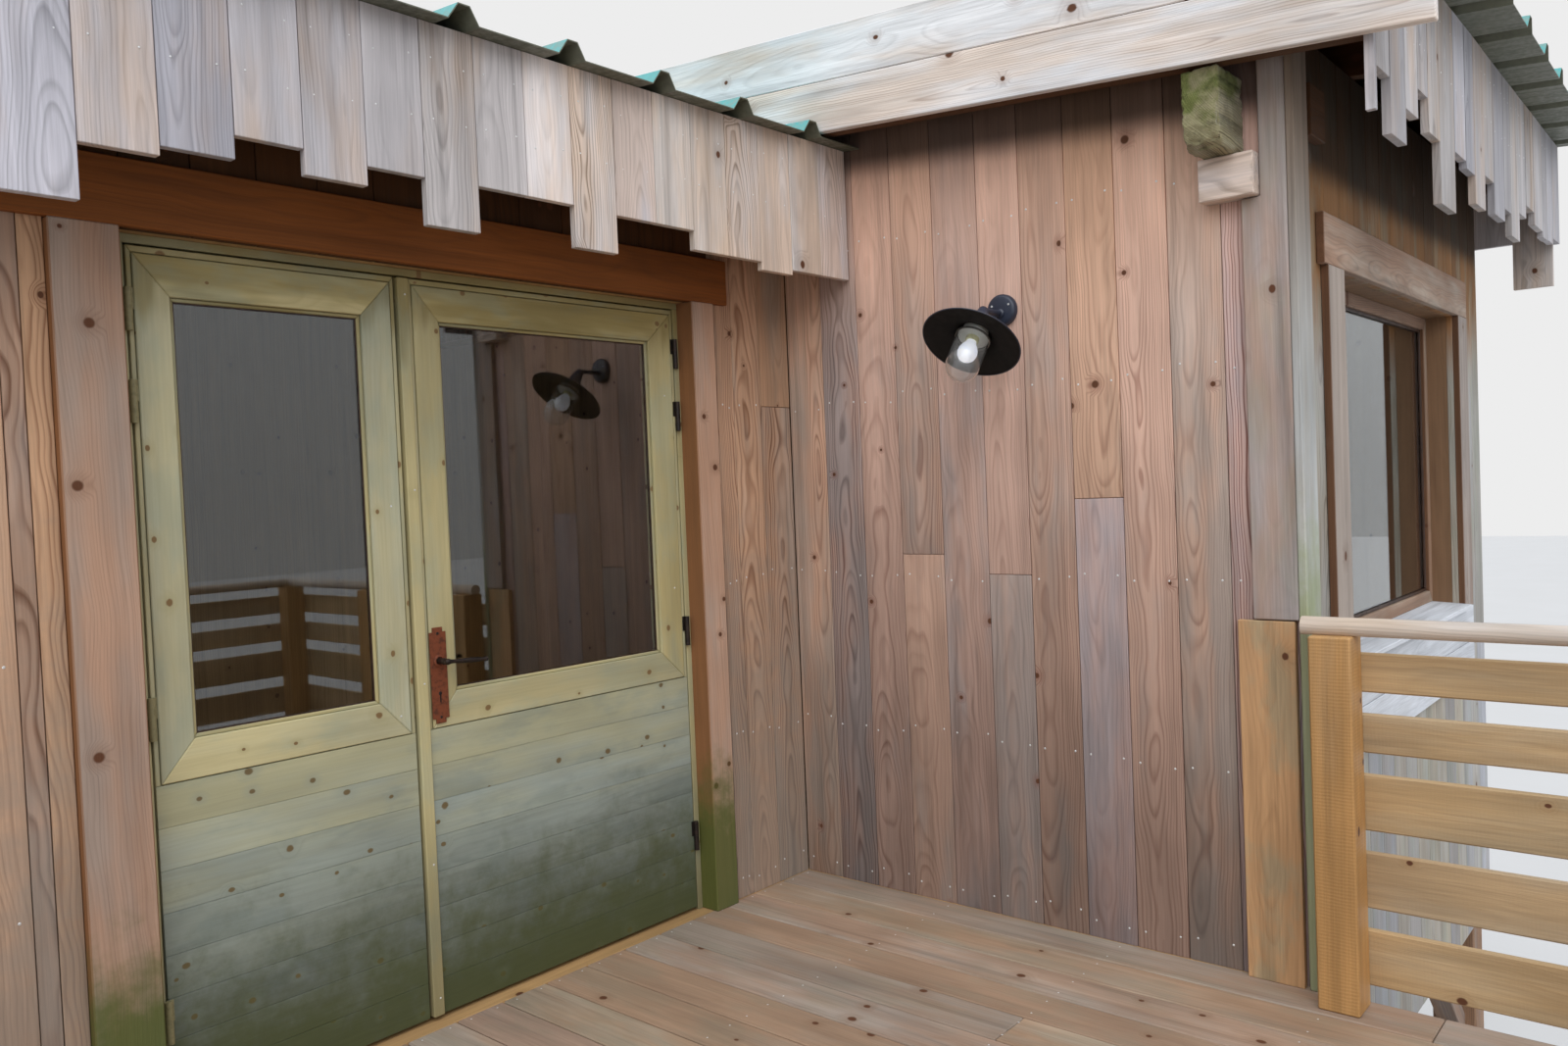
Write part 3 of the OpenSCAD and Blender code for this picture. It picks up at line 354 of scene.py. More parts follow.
            # Painted shadow: right under the eave, which follows the roof's slope, the wood is darkened in place of
            # the eave's shade, with a little dust.
            top, rise = self.eave
            zero = CORNER.z + top / 1000 - rise * CORNER.y
            slant = put("Math MULTIPLY_ADD", ahead, -rise, height)
            shades.append(put("MapRange SMOOTHSTEP", slant, zero - 0.06, zero + 0.035, 1.0, 0.2))
        wiped = put("MapRange SMOOTHSTEP", drawn["cloud"], 0.46, 0.64, 0.0, self.blotched)
        for share, over in (*layers, (wiped, linear(self.blotch))):
            body = put("Mix RGBA", share, body, over)
        shade = fibred
        for other in shades:
            shade = put("Math MULTIPLY", shade, other)
        body = put("VectorMath SCALE", body, shade)
        tops = [(put("Math MULTIPLY", halo, 0.32), linear(self.late)), (eye, linear(self.knot))]
        if self.moss_heights:
            full, none = self.moss_heights
            damp = put("TexNoise", place, 11.0, 5.0, 0.65)
            lifted = put("Math MULTIPLY_ADD", damp, -(none - full) * 1.4, height)
            ends = (edge - (none - full) * 0.7 for edge in (none, full))
            green = put("VectorMath SCALE", linear(self.moss)[:3], fibred)
            tops.append((put("MapRange SMOOTHSTEP", lifted, *ends, 0.0, self.mossed), green))
        for share, over in tops:
            body = put("Mix RGBA", share, body, over)
        return body


@dataclass(frozen=True)
class Metal(Coat):
    """Steel, bronze, enamel or opal with worn, dusty or rusted patches; patch size in millimetres."""

    base: str
    worn: str
    wear: float = 0.5
    metallic: float = 0.0
    rough: Span = (0.35, 0.6)
    patch: float = 30.0
    relief: float = 0.1
    painted_glow: float = 0.0

    def sockets(self, put: Adder, place: Socket) -> dict[str, Any]:
        """Add clouds of wear over the base colour, and fine specks in relief.

        Args:
            put: adds a node; see add().
            place: the Object coordinates.

        Returns:
            The surface shader's inputs.
        """
        cloud = put("TexNoise", place, 1000 / self.patch, 5.0, 0.65)
        worn = put("MapRange SMOOTHSTEP", cloud, 0.45, 0.68, 0.0, self.wear)
        colour = put("Mix RGBA", worn, linear(self.base), linear(self.worn))
        speck = put("TexNoise", place, 9000 / self.patch, 3.0)
        made = {
            "Base Color": colour,
            "Roughness": put("MapRange", cloud, 0.35, 0.65, *self.rough),
            "Normal": put("Bump", named={"Height": speck, "Strength": self.relief, "Distance": 0.0006}),
            "Metallic": self.metallic,
        }
        # Painted light: opal glass glows a little in its own colour, in place of the daylight it would pass on.
        return made | ({"Emission Color": colour, "Emission Strength": self.painted_glow} if self.painted_glow else {})


@dataclass(frozen=True)
class RoofSteel(Coat):
    """Coil-coated steel sheet: turquoise above, cream primer below, with dust washed down the slope."""

    top: str = "#3f9c9c"
    under: str = "#646859"
    dust: str = "#8f938a"

    def sockets(self, put: Adder, place: Socket) -> dict[str, Any]:
        """Add the two coats, split by the way each face looks, and their streaks.

        Args:
            put: adds a node; see add().
            place: the Object coordinates.

        Returns:
            The surface shader's inputs.
        """
        facing = put("SeparateXYZ", put("NewGeometry").node.outputs["Normal"]).node.outputs[2]
        # Streaks run down the slope, about 25 mm wide and 600 mm long.
        long = put("VectorMath MULTIPLY", place, (40.0, 1.6, 40.0))
        speck = put("TexNoise", place, 60.0, 4.0)
        dirt = put("Math MULTIPLY", put("TexNoise", long, 1.0, 4.0, 0.6), speck)
        dirty = put("MapRange SMOOTHSTEP", dirt, 0.2, 0.36, 0.0, 0.5)
        above = put("Mix RGBA", dirty, linear(self.top), linear(self.dust))
        shade, rough = (put("MapRange", dirt, 0.15, 0.36, *ends) for ends in ((1.06, 0.8), (0.32, 0.62)))
        below = put("VectorMath SCALE", linear(self.under)[:3], shade)
        return {
            "Base Color": put("Mix RGBA", put("MapRange", facing, -0.02, 0.02), below, above),
            "Roughness": rough,
            "Normal": put("Bump", named={"Height": speck, "Strength": 0.06, "Distance": 0.001}),
        }


@dataclass(frozen=True)
class Glass(Coat):
    """Float or blown glass: clear, with a faint film of dust that dulls it in places."""

    tint: str = "#f4f8f6"
    film: Span = (0.0, 0.03)
    clear: float = 1.0
    ior: float = 1.5

    def sockets(self, put: Adder, place: Socket) -> dict[str, Any]:
        """Add the film.

        Args:
            put: adds a node; see add().
            place: the Object coordinates.

        Returns:
            The surface shader's inputs.
        """
        smear = put("TexNoise", place, 9.0, 3.0)
        rough = put("MapRange", smear, 0.45, 0.75, *self.film)
        own = {"Base Color": linear(self.tint), "Transmission Weight": self.clear, "IOR": self.ior}
        return {"Roughness": rough, **own}


@dataclass(frozen=True)
class Painted(Coat):
    """Matt painted floor with a faint mottle."""

    dark: str
    light: str

    def sockets(self, put: Adder, place: Socket) -> dict[str, Any]:
        """Add the mottle.

        Args:
            put: adds a node; see add().
            place: the Object coordinates.

        Returns:
            The surface shader's inputs.
        """
        mottle = put("TexNoise", place, 0.8, 3.0)
        return {"Base Color": put("Mix RGBA", mottle, linear(self.dark), linear(self.light)), "Roughness": 0.9}


class Finish(Enum):
    """Every finish of the house, named for what the real one is."""

    # Larch cladding, oiled once and turning pink-grey: strong figure, dark round knots, darker towards the deck
    # partly as painted shade, and a band of painted shadow under the rake.
    LARCH = Wood(
        "weathered_larch_cladding", "#d9b9af", "#7b4738", silver="#b7adb0", silvered=0.6, ring=6.5, figure=1.15,
        ghosted=0.55, knots=0.04, knot_size=(3.0, 8.0), dry_and_shade="#dab3a2", dry_and_shade_heights=(3.9, 4.6), dried_and_shaded=0.7,
        splash_and_shade_heights=(2.2, 4.2), splashed_and_shaded=0.4, eave=(2486.0, 0.0857), marked_face=(0, 1, 1),
        marks=(
            (-250, 1730, 5), (-190, 1425, 7), (-85, 1135, 8), (-1290, 2335, 13), (-1275, 1960, 8),
            (-1175, 1650, 12), (-1520, 1620, 8), (-330, 1960, 8), (-470, 1835, 6), (-395, 1500, 5),
            (-330, 985, 8), (-675, 685, 7),
        ),
    )
    # The same boards beside the doors, deeper under the roof: golden and smoother, a little darker towards the deck
    # partly as painted shade.
    LARCH_DOOR = Wood(
        "sheltered_larch_cladding", "#c09e86", "#7c533a", silver="#a2978f", silvered=0.5, ring=7.0, figure=0.85,
        knots=0.06, knot_size=(3.0, 8.0), streaked=0.2, splash_and_shade_heights=(2.2, 3.6), splashed_and_shaded=0.85, moss="#8c857c",
        moss_heights=(2.4, 3.7), mossed=0.55, marks=((-300, 1915, 9), (-235, 1810, 5)),
    )
    # The same larch on the sides that take the rain: mostly grey.
    LARCH_GREY = Wood(
        "silvered_larch_cladding", "#a29c95", "#786f67", silver="#a2a2a4", silvered=0.7, ring=7.0, figure=0.85,
        knots=0.09, knot_size=(3.0, 12.0), blotch="#929b8b", blotched=0.3, dry_and_shade="#7f5836", dry_and_shade_heights=(3.95, 4.35),
        dried_and_shaded=0.9,
    )
    # And those round the window, deep under the eave: browner up there, partly as painted shade, with a band of
    # painted shadow right under the eave.
    LARCH_WINDOW = replace(
        LARCH_GREY, name="larch_cladding_under_eave", dry_and_shade="#93683d", dry_and_shade_heights=(3.88, 4.2), dried_and_shaded=0.95,
        eave=(2205.0, 0.0),
    )
    # Planed pine lining and floor inside, honey coloured.
    LINING = Wood("planed_pine_lining", "#b5946a", "#8c6a45", silvered=0.0, relief=0.1, rough=0.55)
    # Door posts: larch squares, pinkish, with green algae at the foot, their side faces browner, partly as painted
    # shade.
    POST = Wood(
        "larch_post", "#ab8b77", "#80604c", silver="#988c84", silvered=0.5, ring=6.0, figure=0.5, knots=0.0,
        fibrous=0.6, streaked=0.12, moss="#525c2a", moss_heights=(2.44, 2.78), lee_and_shade="#8a5f3d",
        marks=(
            (-2280, 1790, 12), (-2320, 1450, 12), (-2310, 880, 12), (-2325, 1985, 5), (-420, 1463, 11),
            (-462, 1630, 9), (-405, 1025, 8), (-430, 910, 8), (-415, 475, 9), (-480, 415, 11),
        ),
    )
    # Lintel and eaves timber in the dry: orange brown.
    DRY_LARCH = Wood(
        "sheltered_larch", "#8a5124", "#653713", silvered=0.0, figure=0.5, knots=0.22, knot_size=(5.0, 12.0)
    )
    # Undersides of the eaves, dark with age and dust, and darker still as painted shade.
    SOFFIT = replace(DRY_LARCH, name="soffit_larch_dust_and_painted_shade", early="#54361e", late="#3a2413")
    # Reveals of the openings: larch under one brown coat.
    REVEAL = Wood(
        "browned_larch_reveal", "#87684d", "#664a35", silvered=0.1, figure=0.5, knots=0.12, relief=0.2, rough=0.6
    )
    # Rough structural timber, brown with sawn faces.
    ROUGH = Wood(
        "rough_sawn_structural_larch", "#98765a", "#735440", silver="#8d857e", silvered=0.4, knot_size=(7.0, 14.0),
        relief=0.5,
    )
    # Joinery pine under a thin olive stain, wiped pale in places, brown under the lintel, partly dry wood and
    # partly painted shade, and darker towards the deck, partly as painted shade.
    STAINED = Wood(
        "olive_stained_pine", "#b9b18a", "#a0976d", knot="#7d6442", silver="#a8ac98", ring=9.0, figure=0.3,
        fibrous=0.4, knots=0.45, knot_cell=95.0, knot_size=(3.5, 8.0), blotch="#8fa398", blotched=0.25,
        dry_and_shade="#8b7f50", dry_and_shade_heights=(4.02, 4.14), dried_and_shaded=0.8, relief=0.12, rough=0.6, streaked=0.08,
        splash_and_shade_heights=(2.2, 3.0), splashed_and_shaded=0.55,
    )
    # The boards below the sash take the splash: greyer, dark with algae at the foot, and darker low down partly as
    # painted shade.
    STAINED_LOW = Wood(
        "olive_stained_boards", "#9fa9a1", "#8a948a", knot="#6e5f43", silver="#9ba498", silvered=0.5, ring=9.0,
        figure=0.25, fibrous=0.4, knots=0.45, knot_cell=95.0, knot_size=(4.0, 8.5), blotch="#7b8a86",
        blotched=0.35, moss="#474d26", moss_heights=(2.24, 2.7), mossed=0.8, dry_and_shade="#aeab89",
        dry_and_shade_heights=(2.65, 2.98), dried_and_shaded=0.85, relief=0.12, rough=0.65, streaked=0.1, splash_and_shade_heights=(2.2, 2.9),
        splashed_and_shaded=0.31,
    )
    # Window joinery and cover boards: pale brown larch, the sides of the reveals browner, partly as painted shade.
    COVER = Wood(
        "planed_larch_cover_boards", "#937868", "#6d5546", silver="#a0958c", silvered=0.6, ring=5.5, knots=0.14,
        lee_and_shade="#6a4a34",
    )
    # Sill and apron: limed white grey.
    LIMED = Wood(
        "limed_sill_boards", "#c3c6cb", "#a3a5a9", knot="#777069", silver="#c8ccd3", silvered=0.6, ring=7.0,
        figure=0.5, knots=0.12,
    )
    # Rake boards: pale bleached larch.
    RAKE = Wood(
        "bleached_larch_fascia", "#dccfc4", "#9c8272", silver="#d9dadd", silvered=0.7, ring=6.5, figure=0.9,
        knots=0.22, knot_size=(6.0, 12.0), streaked=0.3,
    )
    # Fringe boards: bleached grey with a pink cast.
    FRINGE = Wood(
        "bleached_larch_fringe", "#cbbaae", "#85705f", silver="#bfbcbf", silvered=0.65, ring=6.0, figure=0.85,
        ghosted=0.35, knots=0.08, streaked=0.3,
    )
    # Old beam end, green with moss.
    MOSSY = Wood(
        "mossy_old_oak", "#a39b7c", "#4e4730", knot="#4a4028", silver="#b3af9b", silvered=0.6, ring=5.0,
        figure=1.0, knots=0.05, blotch="#5f6b2c", blotched=0.78, lee_and_shade="#948e6e", relief=1.4, rough=0.9, streaked=0.5,
    )
    # Upper corner board, grey and cracked.
    CORNER = Wood(
        "silvered_corner_board", "#ad9588", "#856d61", silver="#a39d9d", silvered=0.6, ring=5.0, figure=0.35,
        ghosted=0.2, knots=0.12, knot_size=(4.0, 9.0), blotch="#94a07c", blotched=0.12, streaked=0.35,
    )
    # Corner board that faces the weather: pale grey, browner under the eave, green with algae low down.
    CORNER_FRONT = Wood(
        "pale_grey_corner_board", "#a9a6a0", "#8f8c85", silver="#adb0b1", silvered=0.7, ring=5.0, figure=0.3,
        knots=0.05, dry_and_shade="#8f7b69", dry_and_shade_heights=(3.75, 4.5), dried_and_shaded=0.85, streaked=0.3, moss="#8d9868",
        moss_heights=(3.1, 3.6), mossed=0.7,
    )
    # Lower corner board: yellow larch with old green paint.
    CORNER_LOW = Wood(
        "yellow_corner_board", "#c59d74", "#9a7350", silvered=0.1, knots=0.12, blotch="#8b9d8a", blotched=0.35
    )
    # New railing timber, golden, with planer chatter.
    RAIL = Wood(
        "golden_railing_pine", "#b98f5c", "#976c39", silver="#ad9a80", silvered=0.2, ring=10.0, figure=0.4,
        knots=0.16, chatter=0.5, rough=0.6, streaked=0.15,
    )
    # Railing boards: the same pine, paler.
    RAIL_BOARD = Wood(
        "pale_railing_pine", "#c5a983", "#a0815b", silver="#bbb09c", silvered=0.3, ring=10.0, figure=0.45,
        knots=0.14, chatter=0.3, rough=0.62, streaked=0.15,
    )
    # Handrail, polished grey by hands.
    HANDRAIL = Wood(
        "handled_round_rail", "#c4b3a2", "#a08c7a", silver="#c3bcb6", silvered=0.6, figure=0.45, knots=0.06,
        rough=0.5,
    )
    # Deck boards: light orange brown.
    DECK = Wood(
        "softwood_deck_boards", "#a48a76", "#7e624b", silver="#9e958b", silvered=0.5, figure=0.5, knots=0.14,
        blotch="#8c8a78", blotched=0.25, rough=0.7,
    )
    # Ribbed roof sheets: coil-coated turquoise above, cream primer below.
    ROOF = RoofSteel("coil_coated_roof_steel")
    # Galvanised nails and screws.
    ZINC = Metal("galvanised_nails", "#e3e5e6", "#b4b5b2", metallic=0.5, rough=(0.3, 0.5), patch=8.0)
    # Black stove enamel of the lamp, slightly blue.
    ENAMEL = Metal("blue_black_enamel", "#2a3040", "#3b4354", wear=0.4, rough=(0.3, 0.45), patch=40.0, relief=0.05)
    # Soot-black matt enamel inside the shade.
    ENAMEL_BLACK = Metal(
        "matt_black_enamel", "#040405", "#0a0a0c", wear=0.4, rough=(0.75, 0.9), patch=40.0, relief=0.05
    )
    # Rusted lock plate.
    RUST = Metal(
        "rusted_lock_plate", "#7a3f24", "#4a2a1c", wear=0.8, metallic=0.2, rough=(0.55, 0.8), patch=14.0,
        relief=0.35,
    )
    # Hinges of the left leaf, stained over with the joinery.
    STAINED_STEEL = Metal("stained_over_hinge", "#8b8460", "#6d6748", wear=0.6, rough=(0.5, 0.7), patch=12.0)
    # Browned steel of hinges and lever.
    IRON = Metal("browned_iron", "#2a2523", "#4c3a30", metallic=0.6, rough=(0.38, 0.6), patch=16.0, relief=0.15)
    # Glazing bead and seals, dark brown.
    BEAD = Metal("dark_glazing_bead", "#3b2518", "#22160f", wear=0.6, rough=(0.4, 0.6), patch=60.0, relief=0.05)
    # Pressed steel collar of the lamp glass.
    COLLAR = Metal(
        "dull_steel_collar", "#8c8a84", "#5f5b54", wear=0.6, metallic=0.8, rough=(0.35, 0.55), patch=20.0
    )
    # Cream porcelain of the lamp socket.
    PORCELAIN = Metal("cream_porcelain", "#d3cf9c", "#b3ab74", rough=(0.2, 0.35), patch=18.0)
    # Pale grey moulded ring that holds the glass.
    RING = Metal("pale_moulded_lamp_ring", "#e2e3dc", "#c9cac2", wear=0.4, rough=(0.4, 0.55), relief=0.04)
    # Sealed double panes reflect more than one sheet does, so the index is raised.
    PANE = Glass("double_glazed_float_glass", ior=1.72)
    # Blown dome of the lamp, clear with a little dust.
    DOME = Glass("blown_lamp_glass", tint="#fbfdfd", film=(0.0, 0.1), clear=0.96)
    # Opal glass of the bulb, tinted bluish as painted reflection of the sky, and glowing a little as painted light.
    OPAL = Metal(
        "opal_bulb_glass", "#eff1fb", "#d3d8ea", wear=0.3, rough=(0.12, 0.25), patch=25.0, relief=0.02, painted_glow=0.45
    )
    # Pale painted floor of the studio.
    FLOOR = Painted("pale_studio_floor", "#b3b3b2", "#b9b9b9")

    def dress(self, piece: bpy.types.Object) -> None:
        """Give a piece this finish as its only material.

        Args:
            piece: the object.
        """
        made = bpy.data.materials.get(self.value.name) or self.value.material()
        piece.data.materials.clear()
        piece.data.materials.append(made)


@dataclass(frozen=True)
class Tones:
    """How far the boards of a pile differ: brightness, warmth and silvered share, each low to high."""

    light: Span = (0.86, 1.1)
    warm: Span = (-0.08, 0.12)
    silver: Span = (0.2, 0.65)


def spaced(first: float, last: float, pitch: float) -> tuple[float, ...]:
    """Even joints from one end to the other, about a pitch apart."""
    count = max(1, round((last - first) / pitch))
    return tuple(first + (last - first) * i / count for i in range(count + 1))


def inset(edges: Sequence[float], width: float) -> tuple[float, ...]:
    """Shrink a rectangle x0, z0, x1, z1 by a width all round."""
    return edges[0] + width, edges[1] + width, edges[2] - width, edges[3] - width


def stand(x: float, y: float, z: float, angle: float, axis: str) -> Matrix:
    """Place at a plan point, turned about an axis by an angle in degrees."""
    return Matrix.Translation(at(x, y, z)) @ Matrix.Rotation(math.radians(angle), 4, axis)


def extent(solid: Solid, way: Vector) -> Span:
    """Lowest and highest place of a mesh along a direction."""
    places = [v.co.dot(way) for v in solid.verts]
    return min(places), max(places)


def trim(solid: Solid, point: Vector, normal: Vector) -> None:
    """Cut away what lies on the normal's side of a plane and close the cut.

    Args:
        solid: the mesh, changed in place.
        point: a point of the plane.
        normal: the side that is cut away.
    """
    geometry = [*solid.verts, *solid.edges, *solid.faces]
    bmesh.ops.bisect_plane(solid, geom=geometry, dist=1e-7, plane_co=point, plane_no=normal, clear_outer=True)
    cut = [e for e in solid.edges if e.is_boundary]
    if cut:
        bmesh.ops.triangle_fill(solid, use_beauty=True, use_dissolve=False, edges=cut, normal=normal)


def bevel(solid: Solid, width: float, sharp: float, segments: int) -> None:
    """Ease a solid's sharp edges.

    Args:
        solid: the mesh, changed in place.
        width: of the eased edges, in millimetres.
        sharp: an edge of more than this angle is eased.
        segments: steps round an edge.
    """
    edges = [e for e in solid.edges if e.calc_face_angle(0) > sharp]
    bmesh.ops.bevel(
        solid, geom=edges, offset=width / 1000, offset_type="OFFSET", segments=segments, profile=0.5,
        affect="EDGES", clamp_overlap=True, material=-1,
    )


def node_solids(node: str) -> list[Solid]:
    """Copy a CAD node's separate solids.

    Args:
        node: the node's name.

    Returns:
        One welded mesh for each solid, flat faces joined, sorted by place.
    """
    whole = bmesh.new()
    whole.from_mesh(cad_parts[node].data)
    bmesh.ops.remove_doubles(whole, verts=whole.verts, dist=2e-5)
    bmesh.ops.dissolve_limit(whole, angle_limit=math.radians(0.6), verts=whole.verts, edges=whole.edges)
    whole.verts.index_update()
    seen: set[int] = set()
    solids = []
    for start in whole.verts:
        if start.index in seen:
            continue
        group, stack = {start.index}, [start]
        while stack:
            for edge in stack.pop().link_edges:
                for vert in edge.verts:
                    if vert.index not in group:
                        group.add(vert.index)
                        stack.append(vert)
        seen |= group
        part = whole.copy()
        bmesh.ops.delete(part, geom=[v for v in part.verts if v.index not in group], context="VERTS")
        solids.append(part)
    whole.free()
    return sorted(solids, key=lambda s: tuple(round(min(v.co[i] for v in s.verts), 4) for i in range(3)))


def block(low: Vector, high: Vector) -> Solid:
    """Make a box.

    Args:
        low: its lowest corner, in the frame.
        high: its highest corner.

    Returns:
        The box.
    """
    solid = bmesh.new()
    place = Matrix.Translation((low + high) / 2) @ Matrix.Diagonal((*(high - low), 1))
    bmesh.ops.create_cube(solid, size=1.0, matrix=place)
    return solid


def strips(slab: Solid, way: Vector, cuts: Sequence[float], gap: float) -> list[Solid]:
    """Saw a slab into boards.

    Args:
        slab: the slab, left as it is.
        way: unit vector across the boards.
        cuts: places of the joints along it, in metres, rising.
        gap: width of a joint, in metres.

    Returns:
        The boards that have anything left.
    """
    boards = []
    for first, last in pairwise(cuts):
        part = slab.copy()
        trim(part, way * (first + gap / 2), -way)
        trim(part, way * (last - gap / 2), way)
        if part.faces:
            boards.append(part)
        else:
            part.free()
    return boards


def mitred(outer: Sequence[float], inner: Sequence[float], y0: float, y1: float, joint: float = 0.4) -> list[Solid]:
    """Four mitred members round an opening, in a plane of x and z.

    Args:
        outer: x0, z0, x1, z1 of the outer edge, in plan millimetres.
        inner: the same of the opening.
        y0: front of the members.
        y1: their back.
        joint: width of a mitre's joint.

    Returns:
        Left, right, lower and upper member.
    """
    x0, z0, x1, z1 = outer
    a0, c0, a1, c1 = inner
    members = []
    for left, low, right, high, ends in (
        (x0, z0, a0, z1, ((x0, z0, a0, c0), (x0, z1, a0, c1))),
        (a1, z0, x1, z1, ((x1, z0, a1, c0), (x1, z1, a1, c1))),
        (x0, z0, x1, c0, ((x0, z0, a0, c0), (x1, z0, a1, c0))),
        (x0, c1, x1, z1, ((x0, z1, a0, c1), (x1, z1, a1, c1))),
    ):
        member = block(at(left, y0, low), at(right, y1, high))
        middle = at((left + right) / 2, 0, (low + high) / 2)
        for ox, oz, ix, iz in ends:
            corner, normal = at(ox, 0, oz), Vector((iz - oz, 0, ox - ix)).normalized()
            if (middle - corner).dot(normal) > 0:
                normal = -normal
            trim(member, corner - normal * joint / 2000, normal)
        members.append(member)
    return members


def link(name: str, data: bpy.types.ID) -> bpy.types.Object:
    """Make an object of a mesh, lamp or camera in the scene.

    Args:
        name: the object's name.
        data: what it shows.

    Returns:
        The object.
    """
    made = bpy.data.objects.new(name, data)
    bpy.context.scene.collection.objects.link(made)
    return made


@dataclass
class Piece:
    """A piece of the house in the making: one mesh of one finish.

    Slot is the record's material slot, which is not used here; replaces names the CAD nodes that the piece stands
    for.
    """

    name: str
    finish: Finish
    body: str = "house"
    slot: str = ""
    replaces: tuple[str, ...] = ()

    def __post_init__(self) -> None:
        """Start with an empty mesh."""
        self.mesh = bmesh.new()

    def pour(self, part: Solid) -> int:
        """Move a part into the mesh.

        Args:
            part: the part, used up.

        Returns:
            Its number of vertices.
        """
        loose = bpy.data.meshes.new("loose")
        part.to_mesh(loose)
        part.free()
        self.mesh.from_mesh(loose)
        count = len(loose.vertices)
        bpy.data.meshes.remove(loose)
        return count

    def finished(self) -> bpy.types.Object:
        """Turn the mesh into an object.

        Returns:
            The object, dressed, riding its body and standing for its nodes.
        """
        data = bpy.data.meshes.new(self.name)
        self.mesh.to_mesh(data)
        self.mesh.free()
        piece = link(self.name, data)
        self.finish.dress(piece)
        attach(piece, self.body)
        if self.replaces:
            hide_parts(*self.replaces)
        LOG.info("%s: %d faces, %s", self.name, len(data.polygons), self.finish.value.name)
        return piece


@dataclass
class Pile(Piece):
    """Boards of one finish, each with its own grain, tone and eased edges.

    The pith lies off each board's lower end, in metres along, across and into it. The grain
    runs askew across the board and away from its face, in metres for each metre. Figure is the
    least, the range and the rareness of a bold one.
    """

    ease: float = 1.5
    tones: Tones = Tones()
    pith: tuple[Span, ...] = ((-40.0, 40.0), (-0.045, 0.045), (0.03, 0.09))
    askew: float = 0.012
    away: Span = (0.012, 0.03)
    figure: tuple[float, float, float] = (0.3, 1.3, 2.5)
    sharp: float = 0.45

    def __post_init__(self) -> None:
        """Start empty, and seed the pile's own variation from its name."""
        super().__post_init__()
        self.chance = random.Random(sum(ord(c) * (i + 3) for i, c in enumerate(self.name)))
        self.grains: list[tuple[int, Matrix, Vector, tuple[float, ...]]] = []

    def lay(
        self, board: Solid, grain: Vector | None = None, shift: float = 0.0, tones: Tones | None = None
    ) -> None:
        """Ease a board's edges, give it its own grain and tone, and put it on the pile.

        Args:
            board: the board, used up.
            grain: direction of the grain, or None for the longest edge's.
            shift: most that the board stands in or out, in millimetres.
            tones: the board's own tones, or None for the pile's.
        """
        draw, tones = self.chance.uniform, tones or self.tones
        bmesh.ops.recalc_face_normals(board, faces=board.faces)
        if self.ease:
            bmesh.ops.dissolve_limit(board, angle_limit=0.01, verts=board.verts, edges=board.edges)
        longest = max(board.edges, key=lambda e: e.calc_length())
        along = (grain or (longest.verts[1].co - longest.verts[0].co)).normalized()
        flats = [f for f in board.faces if abs(f.normal.dot(along)) < 0.5]
        face = max(flats, key=lambda f: f.calc_area()).normal
        deep = -(face - along * face.dot(along)).normalized()
        across = deep.cross(along)
        if shift:
            bmesh.ops.translate(board, vec=deep * draw(0, shift) / 1000, verts=board.verts)
        if self.ease:
            bevel(board, self.ease, self.sharp, 1)
        spans = [extent(board, way) for way in (along, across, deep)]
        origin = along * spans[0][0] + across * (sum(spans[1]) / 2) + deep * spans[2][0]
        pith = Vector([draw(*span) for span in self.pith])
        lean = draw(-self.askew, self.askew), self.chance.choice((-1, 1)) * draw(*self.away)
        light, warm = draw(*tones.light), draw(*tones.warm)
        tone = light * (1 + warm * 0.4), light, light * (1 - warm), draw(*tones.silver)
        least, more, rare = self.figure
        bold = least + more * self.chance.random() ** rare
        turn = Matrix((along, across, deep))
        self.grains.append((self.pour(board), turn, origin, (*pith, *lean, bold, *tone)))

    def finished(self) -> bpy.types.Object:
        """Turn the pile into an object whose attributes hold its grain coordinates, tones and figure.

        Returns:
            The object.
        """
        piece = super().finished()
        places = np.empty((len(piece.data.vertices), 3))
        piece.data.vertices.foreach_get("co", places.ravel())
        wood, tone, figure = np.empty_like(places), np.empty((len(places), 4)), np.empty(len(places))
        first = 0
        for count, turn, origin, (du, dv, dw, skew, taper, bold, *tint) in self.grains:
            part = slice(first, first + count)
            own = (places[part] - np.array(origin)) @ np.array(turn).T
            wood[part] = own + (du, dv, dw) + own[:, :1] * (0.0, skew, taper)
            tone[part], figure[part] = tint, bold
            first += count
        for name, kind, key, values in (
            ("wood", "FLOAT_VECTOR", "vector", wood),
            ("tone", "FLOAT_COLOR", "color", tone),
            ("figure", "FLOAT", "value", figure),
        ):
            piece.data.attributes.new(name, kind, "POINT").data.foreach_set(key, values.ravel())
        return piece


